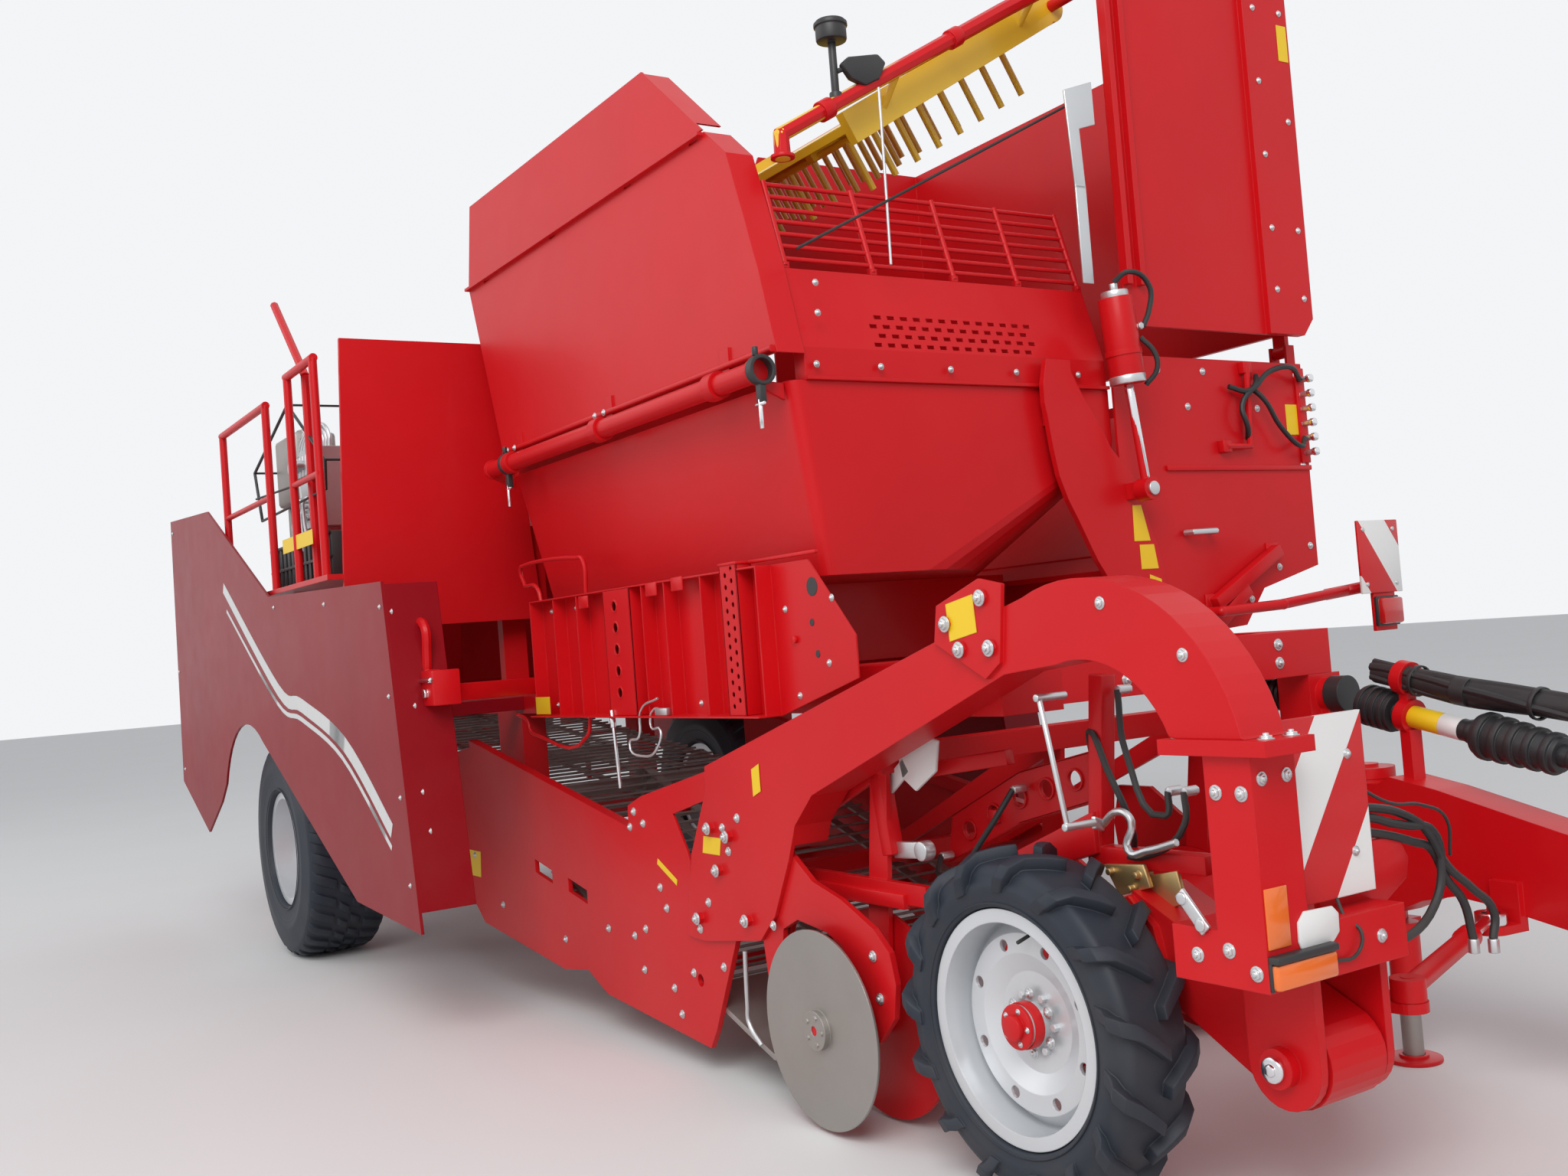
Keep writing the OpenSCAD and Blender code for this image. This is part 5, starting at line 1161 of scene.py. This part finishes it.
def buildArchTubes(g=archGear):
    face = g["channelFace"]
    channel = addPlate(inXZ(face, g["channelTop"] + g["channelLow"]), (0, 0.006, 0), 0)
    channel = cutHoles(channel, inXZ(face + 0.003, g["slots"]), g["slotRadius"])
    red = addBars(g["bars"]) + addRods(g["discTube"]) + [channel]
    red.append(addPlate(inXZ(*g["holder"]), (0, 0.040, 0), 0.006))
    red += [addRing((x, face - 0.004, z), (0, 1, 0), 0.032, 0.0262, 0.006, 28, 0.001) for x, z in g["slots"]]
    for key in ("channelTop", "channelLow"):
        line = inXZ(g["lipMiddle"], g[key])
        red += [addBar(a, b, *g["lipForm"]) for a, b in zip(line, line[1:])]
    finishPiece("archTubes", {"redPaint": red})


def buildArchBrackets(b=archBrackets):
    white = [addPlate(inXZ(*b["white"]), (0, -0.012, 0), 0.004), addBar(*b["whiteArm"])]
    zinc = addBars(b["zincBars"]) + addRods(b["zincRods"])
    zinc += [addTube(b["handle"], b["handleRadius"]), addTube(b["discRod"], b["discRodRadius"])]
    gold = [addPlate(inXZ(*outline), (0, 0.014, 0), 0.003) for outline in b["gold"]]
    front, back = b["pinSpan"]
    gold += [addRod((x, front, z), (x, back, z), *b["pinForm"]) for x, z in b["goldPins"]]
    finishPiece("archBrackets", {"whitePaint": white, "zincSteel": zinc, "goldZinc": gold})


def buildArchHoses(h=archHoses):
    ends = [point for line in h["lines"] for point in (line[0], line[-1])]
    fittings = [addRod((x, y, z), (x, y + h["fittingLong"], z), *h["fittingForm"]) for x, y, z in ends]
    finishPiece("archHoses", {"hoseRubber": addTubes(h["lines"], h["radius"]), "zincSteel": fittings})


buildArchTubes()
buildArchBrackets()
buildArchHoses()
print("arch gear ready")

# Left side: striped board on its arm, with a lamp under it; X counts from the board's back
leftBoard = {
    "x": 1.60, "board": ((0, 1.400, 1.505), (0.012, 1.644, 1.785), 0.003),
    "arm": ((1.372, 1.490, 1.514), (1.400, 1.590, 1.525), (1.450, 1.612, 1.532), (1.600, 1.600, 1.545)),
    "armRadius": 0.0225,
    "holders": (((-0.014, 1.560, 1.515), (0.001, 1.640, 1.600), 0.004),
                ((-0.010, 1.470, 1.360), (0.006, 1.600, 1.512), 0.003)),
    "lamp": ((0.006, 1.475, 1.385), (0.045, 1.595, 1.485), 0.010),
    "lampBack": ((0.004, 1.468, 1.378), (0.020, 1.602, 1.492), 0.005),
    "screws": [((0.011, y, z), (0.016, y, z), 0.008, 16, 0.001) for y in (1.43, 1.61) for z in (1.54, 1.75)],
}


def buildLeftBoard(b=leftBoard):
    board, lamp, lampBack = (addBlocks((b[key],), b["x"]) for key in ("board", "lamp", "lampBack"))
    red = [addTube(b["arm"], b["armRadius"])] + addBlocks(b["holders"], b["x"])
    finishPiece("leftBoard", {"leftStripes": board, "redPaint": red, "blackPlastic": lampBack,
                              "redLens": lamp, "zincSteel": addRods(b["screws"], b["x"])})


buildLeftBoard()

# Lower box: bracket, struts, coupling row and pipe ends; X counts from its front wall
boxGear = {
    "front": 1.2362, "bracket": ((0.022, 1.280, 2.439), (0.022, 1.262, 2.124), (0.022, 1.125, 2.123)),
    "bracketRadius": 0.014, "pad": 0.024,
    "strips": (((-0.001, 0.80, 2.030), (0.012, 1.640, 2.050), 0.003),
               ((-0.001, 1.590, 2.060), (0.010, 1.642, 2.450), 0.003)),
    "struts": (((1.2622, 0.977, 1.510), (1.2622, 1.367, 1.708), 0.044, 0.050, 0.004),
               ((1.2622, 0.966, 1.425), (1.2622, 1.163, 1.561), 0.044, 0.050, 0.004)),
    "strutPads": ((0.985, 1.515), (1.360, 1.703), (1.155, 1.555)), "strutPad": 0.035,
    "couplingY": 1.616, "couplings": (2.100, 2.160, 2.220, 2.280, 2.340, 2.400),
    "pipe": ((0.010, 0.863, 1.790), (0.045, 0.870, 1.790), (0.050, 0.990, 1.792), (0.010, 0.993, 1.790)),
    "pipeRadius": 0.012, "hoseRadius": 0.011, "thinRadius": 0.010,
    "hoses": (((0.012, 1.346, 2.409), (0.045, 1.30, 2.37), (0.040, 1.213, 2.280), (0.045, 1.23, 2.20),
               (0.012, 1.266, 2.155)),
              ((0.020, 1.60, 2.40), (0.060, 1.50, 2.44), (0.050, 1.38, 2.42), (0.045, 1.25, 2.34),
               (0.020, 1.17, 2.36))),
    "thinHose": (((0.020, 1.60, 2.16), (0.060, 1.52, 2.12), (0.050, 1.42, 2.20), (0.045, 1.34, 2.31),
                  (0.012, 1.29, 2.37)),),
}


def addPad(x, y, z, half, depths, bevel):  # square pad round a place on the wall
    return addBlock((x + depths[0], y - half, z - half), (x + depths[1], y + half, z + half), bevel)


def buildBoxGear(g=boxGear):
    x = g["front"]
    red = addTubes((g["bracket"],), g["bracketRadius"], x, False) + addBlocks(g["strips"], x)
    red += addBars(g["struts"])
    ends = (g["bracket"][0], g["bracket"][2])
    red += [addPad(x, y, z, g["pad"], (-0.001, 0.030), 0.004) for _, y, z in ends]
    red += [addPad(x, y, z, g["strutPad"], (-0.001, 0.008), 0.003) for y, z in g["strutPads"]]
    places = inYZ(x, [(g["couplingY"], z) for z in g["couplings"]])
    couplings = [addRod(ahead(0.009, place), ahead(0.050, place), 0.013, 6, 0.002) for place in places]
    caps = [addRod(ahead(0.046, place), ahead(0.066, place), 0.017, 20, 0.004) for place in places]
    pipes = addTubes((g["pipe"],), g["pipeRadius"], x, False)
    finishPiece("boxTubes", {"redPaint": red, "zincSteel": couplings + pipes, "chrome": caps})
    hoses = addTubes(g["hoses"], g["hoseRadius"], x) + addTubes(g["thinHose"], g["thinRadius"], x)
    finishPiece("boxHoses", {"hoseRubber": hoses})


# Seam cylinder with its hoses, stay and line over the grille, bracket on the discharge section
liftGear = {
    "x": 1.341, "sleeve": ((0, 0.5315, 2.338), (0, 0.5000, 2.652), 0.0635, 48, 0.003),
    "rodCover": ((0, 0.5770, 1.990), (0, 0.5310, 2.335), 0.0168, 28, 0.001),
    "caps": (((0, 0.5005, 2.646), (0, 0.4975, 2.678), 0.050, 32, 0.006),
             ((0, 0.4975, 2.674), (0, 0.4950, 2.705), 0.016, 6, 0.002),
             ((0.028, 0.58, 1.95), (0.040, 0.58, 1.95), 0.026, 28, 0.003),
             ((0.050, 0.555, 2.54), (0.066, 0.555, 2.54), 0.014, 6, 0.002)),
    "collar": ((1.341, 0.529, 2.352), (0, -0.098, 0.995), 0.066, 0.0615, 0.030, 40, 0.002),
    "hoses": (((0, 0.499, 2.711), (0.05, 0.53, 2.74), (0.07, 0.606, 2.69), (0.06, 0.606, 2.601),
               (0.05, 0.579, 2.541)),
              ((0.05, 0.560, 2.50), (0.075, 0.60, 2.44), (0.07, 0.610, 2.38), (0.03, 0.590, 2.33))),
    "hoseRadius": 0.010, "tipStay": (1.226, ((-0.417, 3.351), (-0.420, 3.10), (-0.426, 2.740))),
    "headLine": (1.229, ((-0.807, 2.765), (-0.30, 3.02), (0.10, 3.222), (0.436, 3.392))), "lineRadius": 0.005,
    "bracketBack": 1.330, "bracket": ((0.336, 3.406), (0.477, 3.454), (0.478, 3.294), (0.397, 3.269),
                                      (0.405, 3.048), (0.353, 3.048)),
    "bracketFoot": ((1.334, 0.379, 3.060), (1.334, 0.379, 2.700), 0.052, 0.008, 0.002),
}


def buildLiftGear(g=liftGear):
    x = g["x"]
    bracket = addPlate(inYZ(g["bracketBack"], g["bracket"]), (0.008, 0, 0), 0.003)
    finishPiece("headBracket", {"zincSteel": [bracket, addBar(*g["bracketFoot"])]}, "discharge_head")
    finishPiece("liftHoses", {"hoseRubber": addTubes(g["hoses"], g["hoseRadius"], x)})
    sleeve, rodCover = (addRods((g[key],), x) for key in ("sleeve", "rodCover"))
    zinc = addRods(g["caps"], x) + [addRing(*g["collar"])]
    finishPiece("liftTube", {"redPaint": sleeve, "chrome": rodCover, "zincSteel": zinc})
    lines = (("tipStay", "zincSteel", "discharge_tip"), ("headLine", "hoseRubber", "discharge_head"))
    for name, finish, body in lines:
        finishPiece(name, {finish: [addTube(inYZ(*g[name]), g["lineRadius"])]}, body)


buildBoxGear()
buildLiftGear()
print("left side dressed")

# Side wall's hinge: end clips with their pins, each measured from the hinge's middle
hinge = {
    "y": -0.957, "z": 2.370, "clips": (-0.937, 1.190), "ring": (0.050, 0.0365, 0.034, 32, 0.003),
    "tongue": ((-0.014, -0.016, -0.105), (0.014, 0.008, -0.044), 0.003),
    "knob": (((0, -0.016, 0.046), (0, -0.016, 0.075), 0.010, 16, 0.002),),
    "pins": (((0, -0.010, -0.095), (0, -0.010, -0.190), 0.007, 16, 0.001),
             ((-0.026, -0.010, -0.110), (0.026, -0.010, -0.110), 0.006, 16, 0.001)),
}


def buildHingeClips(h=hinge):
    black, pins = [], []
    for x in h["clips"]:
        middle = Vector((x, h["y"], h["z"]))

        def near(offset):
            return middle + Vector(offset)

        low, high, bevel = h["tongue"]
        black += [addRing(middle, (1, 0, 0), *h["ring"]), addBlock(near(low), near(high), bevel)]
        for rods, key in ((black, "knob"), (pins, "pins")):
            rods += [addRod(near(start), near(end), *form) for start, end, *form in h[key]]
    finishPiece("hingeClips", {"blackPlastic": black, "chrome": pins})


# Right-hand cover: the hook on its arm, with its pins
coverGear = {
    "hook": ((-0.826, -1.500, 1.676), (-0.700, -1.505, 1.690), (-0.600, -1.505, 1.664),
             (-0.612, -1.500, 1.560), (-0.624, -1.500, 1.476)),
    "foot": ((-0.624, -1.500, 1.476), (-0.485, -1.500, 1.473)), "radius": 0.020,
    "arm": ((-0.550, -1.430, 1.395), (-0.905, -0.840, 1.388), 0.050, 0.070, 0.004),
    "block": ((-0.640, -1.530, 1.350), (-0.480, -1.415, 1.490), 0.006),
    "pins": (((-0.633, -1.450, 1.219), (-0.580, -1.450, 1.032), 0.008),
             ((-0.633, -1.450, 1.225), (-0.633, -1.450, 1.350), 0.006),
             ((-0.640, -1.535, 1.452), (-0.480, -1.535, 1.452), 0.010),
             ((-0.560, -1.545, 1.400), (-0.560, -1.525, 1.400), 0.020)),
}


def buildCoverGear(c=coverGear):
    red = [addTube(c["hook"], c["radius"]), addTube(c["foot"], c["radius"], False), addBar(*c["arm"])]
    finishPiece("coverHook", {"redPaint": red + addBlocks((c["block"],)), "chrome": addRods(c["pins"])})


buildHingeClips()
buildCoverGear()

# Right platform: wire guard, ribbed step box, pipes and blocks round the valve block, tank and stay
platformGear = {
    "wireFace": -1.545, "wireBack": -1.200, "wireRadius": 0.008, "thinRadius": 0.006,
    "guard": ((-3.050, 2.620), (-2.300, 2.860), (-1.700, 2.500), (-1.720, 2.365), (-2.950, 2.350)),
    "crossWire": ((-3.050, 2.48), (-1.705, 2.43)),
    "box": (-3.00, -1.90, -1.500, -1.350, 1.9555, 2.190), "ribs": 14, "boxBands": (2.0605, 2.176),
    "tank": (((-3.02, -1.440, 2.420), (-2.62, -1.220, 2.780), 0.020),
             ((-2.98, -1.40, 1.9555), (-2.94, -1.26, 2.430), 0.004),
             ((-2.70, -1.40, 1.9555), (-2.66, -1.26, 2.430), 0.004)),
    "tankCap": ((-2.80, -1.33, 2.775), (-2.80, -1.33, 2.815), 0.045, 28, 0.006),
    "stay": (((-2.594, -1.500, 3.431), (-1.960, -1.540, 2.940)),
             ((-1.960, -1.540, 2.940), (-1.940, -1.545, 1.9558))),
    "stayRadius": 0.021,
}
valvePipes = {
    "lowX": -2.485, "lowPitch": 0.042, "lowCount": 6, "lowZ": 2.30, "lowStep": 0.045, "lowFan": 0.02,
    "lowRadius": 0.009, "topX": -2.46, "topPitch": 0.055, "topCount": 4, "topRadius": 0.010,
    "coilHalf": 0.019, "top": ((0, -1.350, 2.649), (0, -1.350, 2.72), (-0.05, -1.370, 2.775),
                               (-0.16, -1.40, 2.74), (-0.24, -1.42, 2.60), (-0.25, -1.42, 2.35),
                               (-0.22, -1.40, 2.02)),
}


def buildPlatformWires(g=platformGear):
    face, thin = g["wireFace"], g["thinRadius"]
    corners = inXZ(face, g["guard"])
    wires = [addTube(corners + corners[:1], g["wireRadius"], False)]
    wires.append(addTube(inXZ(face, g["crossWire"]), thin, False))
    wires += [addTube([(x, face, z), (x, g["wireBack"], z)], thin, False) for x, z in g["guard"][:3]]
    finishPiece("platformWires", {"blackPlastic": wires})


def buildStepBox(g=platformGear):
    x0, x1, y0, y1, z0, z1 = g["box"]
    wide = (x1 - x0) / g["ribs"]
    box = [addBlock((x0, y0 + 0.012, z0), (x1, y1, z1), 0.006)]
    for i in range(g["ribs"]):
        low, high = x0 + wide * (i + 0.25), x0 + wide * (i + 0.75)
        box.append(addBlock((low, y0, z0 + 0.012), (high, y0 + 0.014, z1 - 0.012), 0.003))
    for z in g["boxBands"]:
        box.append(addBlock((x0 - 0.006, y0 - 0.004, z), (x1 + 0.006, y0 + 0.014, z + 0.016), 0.003))
    finishPiece("stepBox", {"blackPlastic": box})


def buildValvePipes(v=valvePipes, g=platformGear):
    zinc = []
    for i in range(v["lowCount"]):
        x, z = v["lowX"] + v["lowPitch"] * i, v["lowZ"] + v["lowStep"] * (i % 3)
        line = ((0, -1.448, z), (0, -1.490, z), (-0.02, -1.500, z - 0.08),
                (v["lowFan"] * i - 0.10, -1.470, 2.10), (v["lowFan"] * i - 0.12, -1.420, 1.99))
        zinc += addTubes((line,), v["lowRadius"], x)
        zinc.append(addRod((x, -1.449, z), (x, -1.470, z), 0.014, 6, 0.002))
    for i in range(v["topCount"]):
        x = v["topX"] + v["topPitch"] * i
        zinc += addTubes((v["top"],), v["topRadius"], x)
        zinc.append(addBlock((x - v["coilHalf"], -1.480, 2.505), (x + v["coilHalf"], -1.448, 2.610), 0.004))
    tank = addBlocks(g["tank"]) + [addRod(*g["tankCap"])]
    finishPiece("valvePipes", {"zincSteel": zinc, "wornSteel": tank})
    finishPiece("platformStay", {"redPaint": addTubes(g["stay"], g["stayRadius"], 0, False)})


buildPlatformWires()
buildStepBox()
buildValvePipes()
print("right side dressed")

# Rear lamp clusters: red lens inside, amber lens outside; X counts from the hood's back wall
rearLamps = {"back": -5.0605, "y": (0.42, 0.70), "z": (1.060, 1.165), "redShare": 0.68,
             "case": (-0.014, 0.004, 0, 0.005), "lens": (-0.030, -0.010, 0.010, 0.006)}


def addLampBlock(spanY, form, r=rearLamps):
    back, front, inset, bevel = form
    (y0, y1), (z0, z1), x = sorted(spanY), r["z"], r["back"]
    return addBlock((x + back, y0, z0 + inset), (x + front, y1, z1 - inset), bevel)


def buildRearLamps(r=rearLamps):
    inner, outer = r["y"]
    split = inner + (outer - inner) * r["redShare"]
    spans = {"redLens": ((inner + 0.008, split - 0.003), r["lens"]),
             "amberLens": ((split + 0.003, outer - 0.008), r["lens"]),
             "blackPlastic": ((inner, outer), r["case"])}
    finishPiece("rearLamps", {finish: [addLampBlock((side * a, side * b), form) for side in (-1, 1)]
                              for finish, ((a, b), form) in spans.items()})


buildRearLamps()
bpy.data.objects.remove(boltTemplate)
print("rear dressed")

# Stage: a pale floor, a pale sky for the camera and soft light for the machine
stage = {
    "floorSize": 120, "floorColor": (0.80, 0.80, 0.79), "floorDark": 0.96, "floorRough": 0.85,
    "skyLight": 0.55, "skyColor": (0.93, 0.95, 1.0, 1), "seenSky": (0.90, 0.91, 0.93, 1),
    "target": (0, 0, 1.5), "keyPlace": (10, -9, 11), "keySize": 9, "keyPower": 1500,
    "fillPlace": (-8, -12, 8), "fillSize": 10, "fillPower": 300,
}


def buildFloor(s=stage):
    bpy.ops.mesh.primitive_plane_add(size=s["floorSize"])
    floor = bpy.context.object
    floor.name = "floor"
    material = bpy.data.materials.new("paleFloor")
    material.use_nodes = True
    tree = material.node_tree
    shader = next(n for n in tree.nodes if n.type == "BSDF_PRINCIPLED")
    dark = tuple(c * s["floorDark"] for c in s["floorColor"])
    noise = addNoise(tree, 0.7, 3.0)
    tree.links.new(mixColor(tree, noise.outputs["Fac"], dark, s["floorColor"]), shader.inputs["Base Color"])
    shader.inputs["Roughness"].default_value = s["floorRough"]
    floor.data.materials.append(material)


def buildSky(s=stage):  # lights the machine softly, and shows paler to the camera and in metal
    world = bpy.data.worlds.new("softSky")
    bpy.context.scene.world = world
    world.use_nodes = True
    tree = world.node_tree
    background = next(n for n in tree.nodes if n.type == "BACKGROUND")
    pale = addNode(tree, "ShaderNodeBackground")
    for node, color, strength in ((pale, s["seenSky"], 1.0), (background, s["skyColor"], s["skyLight"])):
        node.inputs["Color"].default_value = color
        node.inputs["Strength"].default_value = strength
    path = addNode(tree, "ShaderNodeLightPath")
    mirrored = mathNode(tree, "MAXIMUM", path.outputs["Is Glossy Ray"], path.outputs["Is Transmission Ray"])
    mix = addNode(tree, "ShaderNodeMixShader")
    tree.links.new(mathNode(tree, "MAXIMUM", path.outputs["Is Camera Ray"], mirrored), mix.inputs[0])
    tree.links.new(background.outputs[0], mix.inputs[1])
    tree.links.new(pale.outputs[0], mix.inputs[2])
    output = next(n for n in tree.nodes if n.type == "OUTPUT_WORLD")
    tree.links.new(mix.outputs[0], output.inputs["Surface"])


def buildLamps(s=stage):
    for label in ("key", "fill"):
        bpy.ops.object.light_add(type="AREA", location=s[label + "Place"])
        lamp = bpy.context.object
        lamp.name = label + "Light"
        lamp.data.size = s[label + "Size"]
        lamp.data.energy = s[label + "Power"]
        lamp.rotation_euler = (Vector(s["target"]) - lamp.location).to_track_quat("-Z", "Y").to_euler()


buildFloor()
buildSky()
buildLamps()
bpy.context.scene.view_settings.view_transform = "Standard"
print("stage ready")
